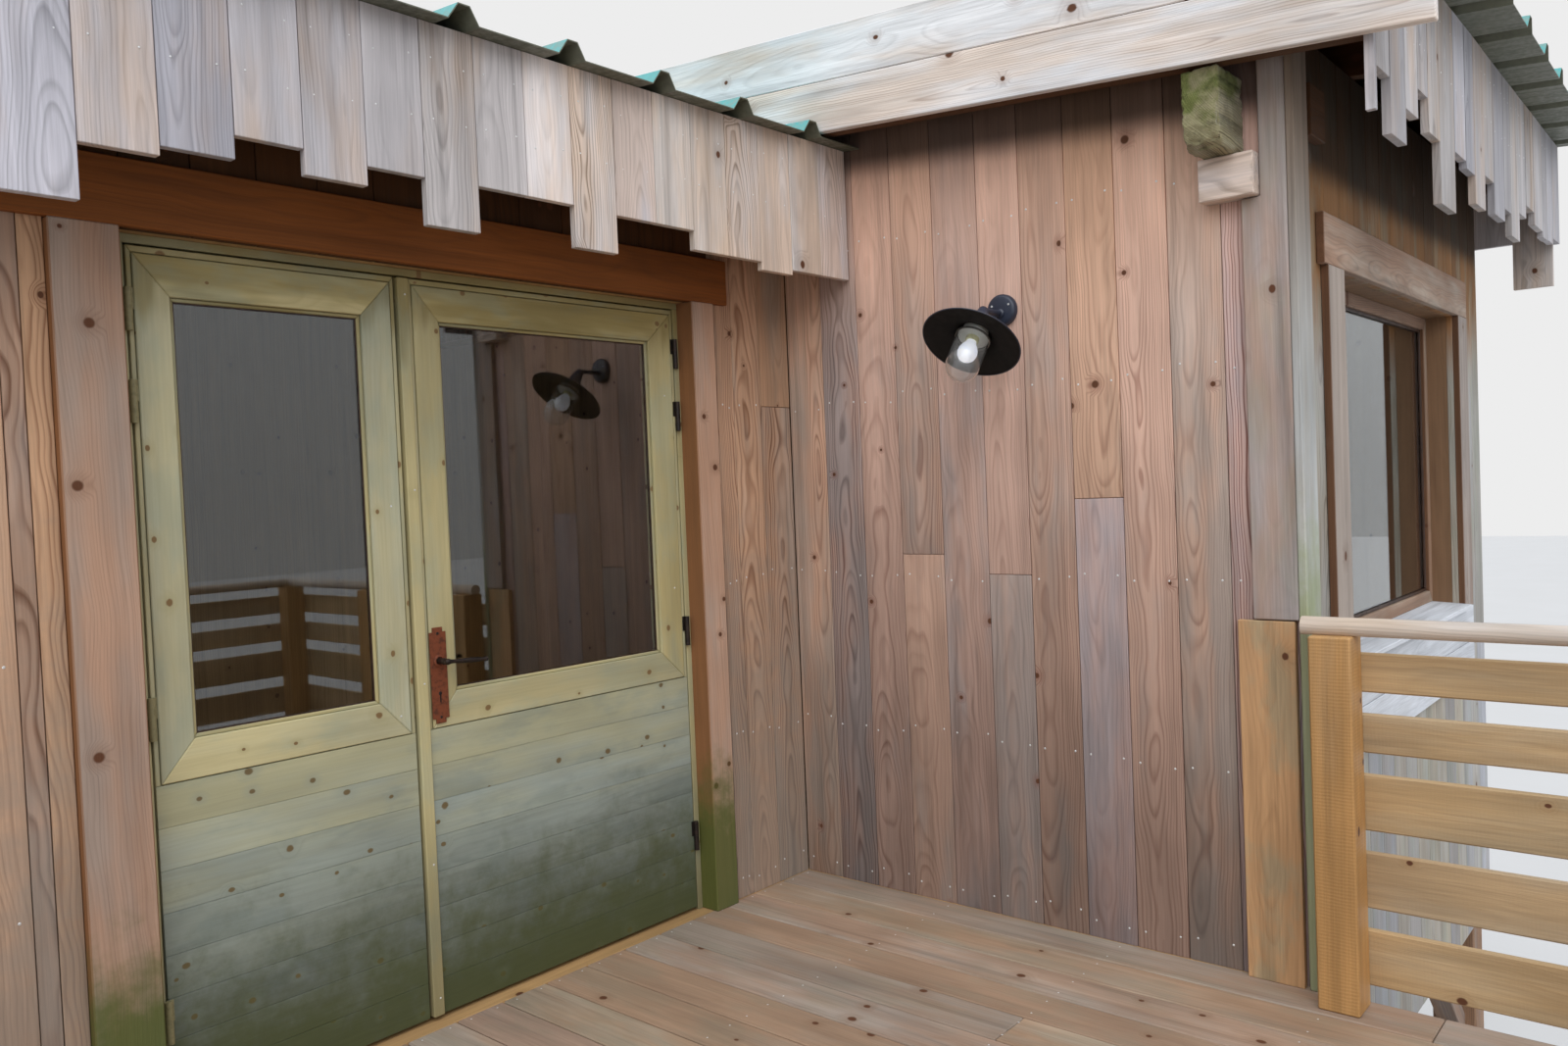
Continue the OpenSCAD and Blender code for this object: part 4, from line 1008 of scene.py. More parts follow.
@dataclass
class Turned(Piece):
    """Small round and cut parts of one metal or glass.

    Edges sharper than the first angle are eased, and faces that meet at less than the crease
    may be shaded as one, both in radians.
    """

    sharp: float = 0.6
    crease: float = 0.7

    def spin(self, profile: Outline, place: Matrix, steps: int) -> "Turned":
        """Turn a profile round the z axis.

        Args:
            profile: (radius, height) points in millimetres, outline of the wall of the part.
            place: where the turned part goes.
            steps: facets round the axis.

        Returns:
            This piece.
        """
        part = bmesh.new()
        points = [part.verts.new((radius / 1000, 0, height / 1000)) for radius, height in profile]
        edges = [part.edges.new(pair) for pair in pairwise(points)]
        if profile[0][0] > 0 or profile[-1][0] > 0:
            edges.append(part.edges.new((points[-1], points[0])))
        bmesh.ops.spin(
            part, geom=points + edges, cent=(0, 0, 0), axis=Z, angle=math.tau, steps=steps, use_merge=True
        )
        bmesh.ops.remove_doubles(part, verts=part.verts, dist=1e-6)
        bmesh.ops.dissolve_degenerate(part, edges=part.edges, dist=1e-7)
        return self.take(part, place, smooth=True)

    def take(self, part: Solid, place: Matrix = Matrix(), ease: float = 0.0, smooth: bool = False) -> "Turned":
        """Put a part in with eased edges.

        Args:
            part: the part, used up.
            place: where it goes.
            ease: width of the eased edges, in millimetres.
            smooth: whether faces that meet at a low angle are shaded as one.

        Returns:
            This piece.
        """
        bmesh.ops.transform(part, matrix=place, verts=part.verts)
        bmesh.ops.recalc_face_normals(part, faces=part.faces)
        if ease:
            bevel(part, ease, self.sharp, 2)
        for edge in part.edges:
            edge.smooth = smooth and edge.calc_face_angle(0) < self.crease
        for face in part.faces:
            face.smooth = smooth
        self.pour(part)
        return self


@dataclass
class Fixings(Turned):
    """Nail and screw heads of a few sides, narrower at the crown, their feet sunk a little."""

    sides: int = 7
    crown: float = 0.55
    sunk: float = 0.4

    def head(self, point: Vector, out: Vector, radius: float, height: float) -> None:
        """Set one domed head.

        Args:
            point: its foot on the surface, in metres.
            out: the surface's direction.
            radius: of the head, in millimetres.
            height: how far it stands out, in millimetres.
        """
        turn = out.to_track_quat("Z", "Y").to_matrix().to_4x4()
        place = Matrix.Translation(point + out * (height - self.sunk) / 2000) @ turn
        bmesh.ops.create_cone(
            self.mesh, cap_ends=True, segments=self.sides, radius1=radius / 1000,
            radius2=radius * self.crown / 1000, depth=(height + self.sunk) / 1000, matrix=place,
        )


@dataclass(frozen=True)
class Face:
    """One boarded face of a wall: its direction, plane, joints across it and joints up it."""

    out: Vector
    level: float
    cuts: tuple[float, ...]
    butts: tuple[tuple[int, float], ...] = ()

    @property
    def spot(self) -> Vector:
        """A point of the face, in the frame."""
        return at(*(Vector(map(abs, self.out)) * self.level))


@dataclass
class Walls:
    """Clad timber walls: vertical boards over a lined core, nailed in rows, many in two lengths.

    A share of the boards is butted, at a height in a range and no closer to an end than the
    shortest. They stand unevenly in or out, and nails stray from their rows and their pairs.
    """

    deep: float = 150.0
    thick: float = 21.95
    film: float = 0.1
    joint: float = 2.2
    butt: float = 1.4
    butted: float = 0.55
    butt_heights: Span = (500.0, 2000.0)
    shortest: float = 200.0
    uneven: float = 0.9
    nail_rows: tuple[float, ...] = (-350.0, 60.0, 560.0, 1083.0, 1670.0, 2190.0)
    nail_edge: float = 24.0
    nail_end: float = 30.0
    nail_head: Span = (3.9, 1.0)
    nailed_width: float = 60.0
    stray: Span = (14.0, 6.0)

    def clad(
        self, node: str, faces: Sequence[Face], finish: Finish = Finish.LARCH_GREY, tones: Tones = Tones(),
        lining: Finish = Finish.LINING, nailed: bool = True,
    ) -> None:
        """Board a wall's faces and line what is left of it.

        Args:
            node: the CAD wall.
            faces: its boarded faces, in order.
            finish: the boards' finish.
            tones: how far the boards differ.
            lining: finish of the lined core.
            nailed: whether nail heads show.
        """
        boards = Pile(f"{node}_boards", finish, slot="cladding", replaces=(node,), tones=tones)
        plain = Tones((0.9, 1.0), (0, 0.05), (0, 0))
        core = Pile(f"{node}_core", lining, slot="cladding", ease=0.0, tones=plain)
        nails = Fixings(f"{node}_nails", Finish.ZINC)
        for solid in node_solids(node):
            for face in faces:
                plane = face.spot - face.out * self.thick / 1000
                slab = solid.copy()
                trim(slab, plane, -face.out)
                # A tenth short, so that no film of the core stays behind a skirt of the boards' own thickness.
                trim(solid, plane - face.out * self.film / 1000, face.out)
                if slab.faces:
                    self._board_up(slab, face, boards, nails)
                slab.free()
            if solid.faces:
                core.lay(solid, Z)
        for piece in (boards, core, nails) if nailed else (boards, core):
            piece.finished()

    def _board_up(self, slab: Solid, face: Face, boards: Pile, nails: Fixings) -> None:
        """Saw one slab into nailed vertical boards.

        Args:
            slab: the slab, left as it is.
            face: the face that it belongs to.
            boards: the pile that takes the boards.
            nails: the set that takes their nails.
        """
        draw = boards.chance.uniform
        way = Y if abs(face.out.x) > 0.5 else X
        edge, end, narrow = self.nail_edge / 1000, self.nail_end / 1000, self.nailed_width / 1000
        short, (row_stray, pair_stray) = self.shortest / 1000, self.stray
        for i, cuts in enumerate(pairwise(face.cuts)):
            for strip in strips(slab, way, [CORNER.dot(way) + c / 1000 for c in cuts], self.joint / 1000):
                low, high = extent(strip, Z)
                mark = dict(face.butts).get(i)
                if mark is None and not face.butts and boards.chance.random() < self.butted:
                    mark = draw(*self.butt_heights)
                cut = CORNER.z + mark / 1000 if mark else high
                inner = (cut,) if low + short < cut < high - short else ()
                for part in strips(strip, Z, (low - BEYOND, *inner, high + BEYOND), self.butt / 1000):
                    (left, right), (foot, top) = extent(part, way), extent(part, Z)
                    back = draw(0, self.uneven)
                    bmesh.ops.translate(part, vec=-face.out * back / 1000, verts=part.verts)
                    for row in self.nail_rows:
                        height = CORNER.z + (row + draw(-row_stray, row_stray)) / 1000
                        if not foot + end < height < top - end or right - left < narrow:
                            continue
                        for side in (left + edge, right - edge):
                            spot = face.spot - face.out * back / 1000
                            spot = spot - way * spot.dot(way) + way * side
                            spot.z = height + draw(-pair_stray, pair_stray) / 1000
                            nails.head(spot, face.out, *self.nail_head)
                    boards.lay(part, Z)
                strip.free()

    def build(self) -> None:
        """Board every wall, with the joints of the two walls by the deck where they are seen."""
        far, back, _ = plan_box("back_wall")[1]
        left, front, deep = plan_box("left_end_wall")[0].x, plan_box("lamp_wall")[0].y, self.deep
        seen = (front, -1554, -1404, -1250, -1096, -944, -795, -629, -467, -312, -157, 0.0)
        butts = ((3, 1316.0), (5, 1086.0), (7, 1148.0), (1, 2600.0))
        faces = (Face(-X, 0, seen + spaced(0, back, 155)[1:], butts), Face(-Y, front, (0.0, 95.0, deep)))
        self.clad("lamp_wall", faces, Finish.LARCH, Tones((0.82, 1.1), (-0.02, 0.2), (0.1, 0.65)))
        beyond = (left, *spaced(left, -2608, 150)[1:], -2440.0, -2398.0, -2348.0)
        cuts = beyond + (-400.0, -372.0, -291.0, -155.0, 0.0)
        faces = (Face(-Y, 0, cuts, ((len(beyond) + 3, 1672.0),)), Face(-X, left, (0.0, deep)))
        tones = Tones((0.88, 1.1), (-0.02, 0.14), (0.1, 0.5))
        self.clad("door_wall", faces, Finish.LARCH_DOOR, tones, Finish.REVEAL)
        self.clad("door_wall_head", [Face(-Y, 0, spaced(-2348, -395, 150))], Finish.SOFFIT, nailed=False)
        self.clad("left_end_wall", [Face(-X, left, spaced(0, back, 150))])
        ends = (back - deep, back)
        self.clad("back_wall", (Face(Y, back, spaced(left, far, 150)), Face(-X, left, ends), Face(X, far, ends)))
        faces = (Face(-Y, front, spaced(150, far, 145)), Face(X, far, (front, front + deep)))
        self.clad("window_wall", faces, Finish.LARCH_WINDOW, Tones(), Finish.REVEAL, nailed=False)
        self.clad("far_end_wall", [Face(X, far, spaced(front + deep, back - deep, 150))])


@dataclass(frozen=True)
class Stock:
    """Nodes whose solids are single timbers: how each is dressed.

    Beyond gives a direction, a place on the plan and the tones of the timbers past it; on the door posts and the
    main fringe the two tones are painted light and shade.
    """

    node: str
    finish: Finish
    slot: str
    ease: float = 2.0
    tones: Tones = Tones()
    grain: Vector | None = None
    beyond: tuple[Vector, float, Tones] | None = None


@dataclass
class Timbers:
    """Frame, roof and railing timbers, one solid a timber, with eased edges and an uneven fringe."""

    uneven: float = 0.8
    crease: float = 35.0
    stock: tuple[Stock, ...] = (
        Stock("stilts", Finish.ROUGH, "rough_timber", 6.0),
        Stock("bearers", Finish.ROUGH, "rough_timber", 4.0),
        Stock("knee_braces", Finish.ROUGH, "rough_timber", 3.0),
        Stock("joists", Finish.ROUGH, "rough_timber"),
        Stock("rafters", Finish.SOFFIT, "rough_timber"),
        # The right post is painted lighter than the left, which stands in painted shade.
        Stock(
            "door_posts", Finish.POST, "post_timber", 3.0, Tones((1.04, 1.08), (0.0, 0.06), (0.35, 0.45)),
            beyond=(X, -1500.0, Tones((1.3, 1.34), (0.0, 0.05), (0.35, 0.45))),
        ),
        Stock("door_lintel", Finish.DRY_LARCH, "lintel_timber", 2.5),
        Stock("door_frame", Finish.STAINED, "door_timber", 1.5),
        Stock("rake_fascia", Finish.RAKE, "fascia_timber", 2.5, Tones((0.95, 1.05), (-0.02, 0.05), (0.3, 0.6))),
        # Fringe boards towards the lamp wall are painted lighter, the rest darker as painted shade.
        Stock(
            "main_fringe", Finish.FRINGE, "fringe_timber", 1.5, Tones((0.8, 1.0), (-0.1, 0.04), (0.35, 0.8)), Z,
            (X, -1300.0, Tones((1.08, 1.28), (-0.04, 0.1), (0.1, 0.5))),
        ),
        Stock(
            "wing_fringe", Finish.FRINGE, "fringe_timber", 0.8, Tones((0.72, 0.92), (-0.06, 0.04), (0.4, 0.75)), Z
        ),
        Stock(
            "side_fringes", Finish.FRINGE, "fringe_timber", 1.5, Tones((0.86, 1.1), (-0.06, 0.08), (0.3, 0.7)), Z
        ),
        Stock("railing_posts", Finish.RAIL, "rail_timber", 4.0, Tones((0.95, 1.05), (0.0, 0.06), (0.1, 0.3)), Z),
        Stock(
            "railing_boards", Finish.RAIL_BOARD, "rail_timber", 4.0, Tones((0.78, 0.98), (-0.04, 0.1), (0.1, 0.5))
        ),
        Stock("handrails", Finish.HANDRAIL, "rail_timber", 0.0, Tones((0.96, 1.04), (0.0, 0.04), (0.4, 0.6))),
        Stock(
            "window_casing", Finish.COVER, "cover_timber", 2.0, Tones((1.0, 1.06), (-0.04, 0.0), (0.7, 0.9)),
            beyond=(Z, 1900.0, Tones((1.22, 1.26), (0.06, 0.1), (0.2, 0.3))),
        ),
        Stock("window_sill", Finish.LIMED, "cover_timber", 2.0, Tones((0.96, 1.04), (0.0, 0.02), (0.4, 0.7))),
    )

    def build(self) -> None:
        """Dress every stock node, timber by timber."""
        for item in self.stock:
            pile = Pile(f"{item.node}_timbers", item.finish, "house", item.slot, (item.node,), item.ease)
            way, past, others = item.beyond or (X, math.inf, item.tones)
            for solid in node_solids(item.node):
                place = (sum(extent(solid, way)) / 2 - CORNER.dot(way)) * 1000
                shift = self.uneven if "fringe" in item.node else 0.0
                pile.lay(solid, item.grain, shift, others if place > past else item.tones)
            piece = pile.finished()
            if not item.ease:
                piece.data.shade_smooth()
                piece.data.set_sharp_from_angle(angle=math.radians(self.crease))


@dataclass(frozen=True)
class Boarding:
    """A slab that is sawn into boards: directions across and along them, their width, gap and easing.

    Screwed says whether pairs of screws hold the boards on every joist.
    """

    node: str
    finish: Finish
    slot: str
    way: Vector
    grain: Vector
    width: float
    gap: float
    ease: float
    screwed: bool = False


@dataclass
class Floors:
    """Deck, room floors and roof boarding, sawn from their slabs, with sizes in metres.

    Boards that are longer than the longest are butted, at a share of their length in a range.
    """

    boardings: tuple[Boarding, ...] = (
        Boarding("deck_floor", Finish.DECK, "deck_timber", X, Y, 145.0, 5.0, 3.0, True),
        Boarding("room_floor", Finish.LINING, "floor_timber", Y, X, 130.0, 0.6, 0.6),
        Boarding(
            "roof_boards", Finish.SOFFIT, "rough_timber", Vector((0, math.cos(SLOPE), math.sin(SLOPE))), X, 150.0,
            2.0, 2.0,
        ),
    )
    longest: float = 2.6
    butt: float = 0.002
    butted: Span = (0.3, 0.7)
    joist_pitch: float = 0.6
    screw_edge: float = 0.03
    screw_end: float = 0.02
    screw_head: Span = (3.4, 0.4)

    def build(self) -> None:
        """Saw the slabs into boards, and screw the deck's down."""
        for item in self.boardings:
            tones = Tones((0.86, 1.1), (-0.05, 0.12), (0.1, 0.6))
            pile = Pile(f"{item.node}_boards", item.finish, "house", item.slot, (item.node,), item.ease, tones)
            screws = Fixings(f"{item.node}_screws", Finish.ZINC)
            for slab in node_solids(item.node):
                low, high = extent(slab, item.way)
                cuts = spaced(low * 1000 - item.gap / 2, high * 1000 + item.gap / 2, item.width + item.gap)
                for strip in strips(slab, item.way, [c / 1000 for c in cuts], item.gap / 1000):
                    start, end = extent(strip, item.grain)
                    middle = pile.chance.uniform(*self.butted) * (end - start) + start
                    inner = (middle,) if end - start > self.longest else ()
                    if item.screwed:
                        self._screw(strip, item, screws)
                    for part in strips(strip, item.grain, (start - BEYOND, *inner, end + BEYOND), self.butt):
                        pile.lay(part, item.grain)
                    strip.free()
                slab.free()
            pile.finished()
            if item.screwed:
                screws.finished()

    def _screw(self, strip: Solid, item: Boarding, screws: Fixings) -> None:
        """Set a pair of screws over every joist.

        Args:
            strip: the board.
            item: its boarding.
            screws: the set that takes them.
        """
        (start, end), (left, right) = extent(strip, item.grain), extent(strip, item.way)
        count = round((end - start) / self.joist_pitch)
        for k in range(count + 1):
            place = start + self.screw_end + (end - start - 2 * self.screw_end) * k / count
            for side in (left + self.screw_edge, right - self.screw_edge):
                spot = item.grain * place + item.way * side + Z * extent(strip, Z)[1]
                screws.head(spot, Z, *self.screw_head)


@dataclass
class Leaf:
    """A glazed door leaf: core, mitred sash planted on it, outer lip, boards below, beads, seals and studs.

    Studs are places on the sash, strip studs heights on the meeting strip of the leaf that has one.
    """

    side: str
    left_edge: float
    right_edge: float
    tones: Tones
    studs: tuple[Span, ...]
    strip_studs: tuple[float, ...] = ()
    front: float = 48.0
    sash_foot: float = 780.0
    lip: float = 10.0
    top_lip: float = 14.0
    foot_lip: float = 60.0
    lip_end: float = 2.0
    groove: float = 2.5
    planted: float = 9.0
    proud: float = 1.5
    behind: float = 0.3
    board: float = 96.0
    board_gap: float = 0.7
    seated: float = 0.3
    strip_gap: float = 0.4
    bead: Span = (9.0, 7.0)
    seal: Span = (3.0, 2.2)
    stud: Span = (3.4, 1.4)
    strip_stud: Span = (3.2, 1.2)
    strip_stud_aside: float = 4.0

    def build(self) -> None:
        """Build the leaf on its body."""
        node, body = f"{self.side}_leaf", f"{self.side}_door"
        low, high = plan_box(node)
        glass = plan_box(f"{self.side}_glass")
        x0, x1, lip, groove = self.left_edge, self.right_edge, self.lip, self.groove
        front, back = self.front, high.y - self.proud
        core_front, core_back = front + self.planted, back - self.planted
        pile = partial(Pile, body=body, slot="door_timber")
        core = pile(f"{node}_core", Finish.STAINED, replaces=(node,), ease=0.0)
        frame = pile(f"{node}_frame", Finish.STAINED, ease=2.0, tones=self.tones)
        tones = Tones((0.95, 1.05), (-0.03, 0.04), (0.3, 0.65))
        panel = pile(f"{node}_panel", Finish.STAINED_LOW, ease=0.8, tones=tones)
        edge = pile(f"{node}_lip", Finish.STAINED, tones=Tones((0.92, 0.98), (0.02, 0.06), (0.2, 0.4)))
        tones = Tones((0.86, 0.92), (0.06, 0.12), (0.1, 0.3))
        beads = pile(f"{node}_beads", Finish.STAINED, ease=2.0, tones=tones)
        seals = pile(f"{node}_seals", Finish.BEAD, ease=0.5)
        x2, z2, x3, z3 = inner = (glass[0].x, glass[0].z, glass[1].x, glass[1].z)
        for ax, az, bx, bz in (
            (x0, low.z, x2, high.z), (x3, low.z, x1, high.z), (x2, low.z, x3, z2), (x2, z3, x3, high.z)
        ):
            core.lay(block(at(ax, core_front, az), at(bx, core_back, bz)), Z)
        top = high.z - self.top_lip
        outer = (x0 + lip + groove, self.sash_foot, x1 - lip - groove, top - groove)
        for y0, y1 in ((front - self.proud, core_front), (core_back, back + self.proud)):
            for member in mitred(outer, inner, y0, y1):
                frame.lay(member)
        rows = [CORNER.z + row / 1000 for row in spaced(low.z, self.sash_foot - groove, self.board)]
        for y0, y1 in ((front + self.behind, core_front), (core_back, back - self.behind)):
            lips = (x0 + lip, low.z - self.foot_lip, x1 - lip, top)
            left, right, _, upper = mitred((x0, low.z, x1, high.z), lips, y0, y1)
            for member in (left, right):
                trim(member, at(0, 0, self.sash_foot - self.lip_end), -Z)
                edge.lay(member, Z)
            edge.lay(upper)
            slab = block(at(x0, y0, low.z), at(x1, y1, self.sash_foot - groove))
            for board in strips(slab, Z, rows, self.board_gap / 1000):
                panel.lay(board, X)
            slab.free()
        hole = inset(inner, self.bead[0])
        sight = inset(hole, self.seal[0])
        for side, reach in ((glass[0].y - self.seated, -1), (glass[1].y + self.seated, 1)):
            for rims, around, rim, deep in (
                (beads, inner, hole, self.bead[1]), (seals, hole, sight, self.seal[1])
            ):
                for member in mitred(around, rim, *sorted((side, side + reach * deep))):
                    rims.lay(member)
        studs = Fixings(f"{node}_studs", Finish.ZINC, body)
        for each in (core, frame, panel, edge, beads, seals):
            each.finished()
        if self.strip_studs:
            tones = Tones((1.02, 1.05), (0.06, 0.1), (0.1, 0.2))
            strip = pile("meeting_strip", Finish.STAINED, ease=2.5, tones=tones)
            strip.lay(block(at(low.x, low.y, low.z), at(x0 - self.strip_gap, back, high.z)), Z)
            strip.finished()
        for z in self.strip_studs:
            studs.head(at((low.x + x0) / 2 + self.strip_stud_aside, low.y, z), -Y, *self.strip_stud)
        for x, z in self.studs:
            studs.head(at(x, front - self.proud, z), -Y, *self.stud)
        studs.finished()


@dataclass
class DoorFurniture:
    """Lock plate, lever and hinges: heights and lengths of their parts."""

    spindle: tuple[float, float, float] = (-1451.0, 46.5, 960.0)
    plate: Span = (792.0, 1050.0)
    plate_thick: float = 4.0
    plate_end: float = 16.0
    plate_screw: Span = (4.5, 1.6)
    keyhole: Span = (6.5, 0.8)
    keyhole_drop: float = 88.0
    slot_half: float = 2.0
    slot_length: float = 24.0
    slot_proud: Span = (0.7, 0.1)
    lever_out: float = 46.0
    lever_length: float = 126.0
    lever_droop: float = 4.0

    def build(self) -> None:
        """Build the furniture on the right leaf, the lever and both sides' hinges."""
        x, y, z = self.spindle
        face, low = y - self.plate_thick, z - self.keyhole_drop
        plate = Turned("rusted_lock_plate", Finish.RUST, "right_door", "aged_bronze", ("lock_plate",))
        for solid in node_solids("lock_plate"):
            plate.take(solid, ease=1.0)
        rose = [(11, 0), (17, 0), (17, 2.5), (14, 4.5), (11, 5)]
        plate.spin(rose, stand(x, face, z, 90, "X"), 24).finished()
        dark = Fixings("lock_plate_fittings", Finish.IRON, "right_door", "aged_bronze")
        for height in (self.plate[0] + self.plate_end, self.plate[1] - self.plate_end):
            dark.head(at(x, face, height), -Y, *self.plate_screw)
        dark.head(at(x, face, low), -Y, *self.keyhole)
        (above, sunk), half = self.slot_proud, self.slot_half
        slot = block(at(x - half, face - above, low - self.slot_length), at(x + half, face + sunk, low))
        dark.take(slot, ease=0.3).finished()
        out, end = self.lever_out, self.lever_length
        neck = [(0, 0.4), (8, 0.4), (8, 26), (9.5, 30), (8, 34), (8, out - 3), (6, out + 5), (0, out + 8)]
        grip = [(0, -9), (6, -8), (8.5, -3), (8.5, 3), (6, 9), (5.2, 22), (6.6, 52), (7.2, 74), (6.4, 96)]
        grip += [(5.0, end - 15), (7.2, end - 7), (6.6, end - 2), (0, end)]
        lever = Turned("lever_handle", Finish.IRON, "door_lever", "aged_bronze", ("lever",))
        lever.spin(neck, stand(x, y, z, 90, "X"), 20)
        lever.spin(grip, stand(x, y - out, z, 90 + self.lever_droop, "Y"), 18).finished()
        # Left of the spindle the hinges are stained over, right of it they are bare.
        for name, finish, body, node, replaced in (
            ("left_leaf_knuckles", Finish.STAINED_STEEL, "left_door", "left_leaf_hinges", True),
            ("right_leaf_knuckles", Finish.IRON, "right_door", "right_leaf_hinges", True),
            ("frame_knuckles", Finish.IRON, "house", "frame_hinges", True),
            ("frame_knuckles_left", Finish.STAINED_STEEL, "house", "frame_hinges", False),
        ):
            knuckles = Turned(name, finish, body, "aged_bronze", (node,) if replaced else ())
            for solid in node_solids(node):
                if (extent(solid, X)[0] > at(x, 0, 0).x) == (finish is Finish.IRON):
                    knuckles.take(solid, smooth=True)
            knuckles.finished()


@dataclass
class Window:
    """Picture window: mitred sash with a bead on both sides of its glass."""

    bead: Span = (10.0, 9.0)
    seated: float = 0.3

    def build(self) -> None:
        """Build the sash and its beads."""
        low, high = plan_box("window_frame")
        pane_low, pane_high = plan_box("window_glass")
        hole = (pane_low.x, pane_low.z, pane_high.x, pane_high.z)
        wide, deep = self.bead
        tones = Tones((0.92, 1.0), (0.05, 0.12), (0.2, 0.4))
        sash = Pile("window_sash", Finish.COVER, "house", "frame_timber", ("window_frame",), 2.5, tones)
        beads = Pile("window_beads", Finish.BEAD, slot="frame_timber", ease=2.0)
        for pile, outer, inner, y0, y1 in (
            (sash, (low.x, low.z, high.x, high.z), hole, low.y, high.y),
            (beads, hole, inset(hole, wide), pane_low.y - deep, pane_low.y - self.seated),
            (beads, hole, inset(hole, wide), pane_high.y + self.seated, pane_high.y + deep),
        ):
            for member in mitred(outer, inner, y0, y1):
                pile.lay(member)
        sash.finished()
        beads.finished()


@dataclass
class OuterCorner:
    """Corner boards, the mossy beam end under the rake and the block that carries it."""

    eave_foot: float = 2200.0
    lower_top: float = 1100.0
    board_thick: float = 50.0
    block_out: float = 100.0
    rounded: float = 8.0
    pit_grid: float = 7.0
    pitted: float = 4.0
    bite: tuple[float, float, float] = (0.4, 1.3, 0.9)
    rough_rate: float = 38.0
    furrow_rate: Vector = Vector((8.0, 110.0, 110.0)).freeze()

    def build(self) -> None:
        """Dress the corner's timbers one by one."""
        pile = partial(Pile, slot="cover_timber")
        tones = Tones((0.97, 1.03), (0, 0.05), (0.4, 0.5))
        upper = pile("corner_boards_upper", Finish.CORNER, replaces=("corner_boards",), ease=3.0, tones=tones)
        tones = Tones((0.98, 1.02), (0, 0.04), (0, 0.2))
        lower = pile("corner_boards_lower", Finish.CORNER_LOW, ease=2.0, tones=tones)
        tones = Tones((0.97, 1.03), (0, 0.04), (0.3, 0.6))
        front = pile("corner_board_front", Finish.CORNER_FRONT, ease=3.0, tones=tones)
        eave = pile("corner_eave_board", Finish.SOFFIT, ease=2.0)
        for solid in node_solids("corner_boards"):
            foot, top = ((end - CORNER.z) * 1000 for end in extent(solid, Z))
            if foot > self.eave_foot:
                eave.lay(solid, X)
            elif (extent(solid, X)[1] - CORNER.x) * 1000 > self.board_thick:
                front.lay(solid, Z)
            else:
                (lower if top < self.lower_top else upper).lay(solid, Z)
        beam = pile("mossy_beam_end", Finish.MOSSY, slot="mossy_timber", replaces=("beam_end",), ease=0.0)
        tones = Tones((1.34, 1.36), (-0.02, 0.0), (0.3, 0.4))
        blocks = pile("beam_block", Finish.FRINGE, ease=3.0, tones=tones)
        for solid in node_solids("beam_end"):
            if (extent(solid, -X)[1] + CORNER.x) * 1000 > self.block_out:
                self._decay(solid)
                beam.lay(solid, X)
            else:
                blocks.lay(solid, Y)
        for each in (upper, lower, front, eave, beam, blocks):
            each.finished()

    def _decay(self, solid: Solid) -> None:
        """Round an old timber's edges, and pit and furrow its faces, all inwards.

        Args:
            solid: the timber, changed in place.
        """
        bmesh.ops.recalc_face_normals(solid, faces=solid.faces)
        bevel(solid, self.rounded, 0.3, 2)
        grid = self.pit_grid / 1000
        for way in (X, Y, Z):
            low, high = extent(solid, way)
            for k in range(1, int((high - low) / grid) + 1):
                geometry = [*solid.verts, *solid.edges, *solid.faces]
                point = way * (low + k * grid)
                bmesh.ops.bisect_plane(solid, geom=geometry, dist=1e-5, plane_co=point, plane_no=way)
        solid.normal_update()
        all_over, in_pits, in_furrows = self.bite
        for vert in solid.verts:
            rough = noise.fractal(vert.co * self.rough_rate, 0.8, 2.0, 4)
            furrow = noise.noise(vert.co * self.furrow_rate)
            depth = max(0.0, all_over + rough * in_pits + furrow * in_furrows)
            vert.co -= vert.normal * depth * self.pitted / 1000
        for face in solid.faces:
            face.smooth = True


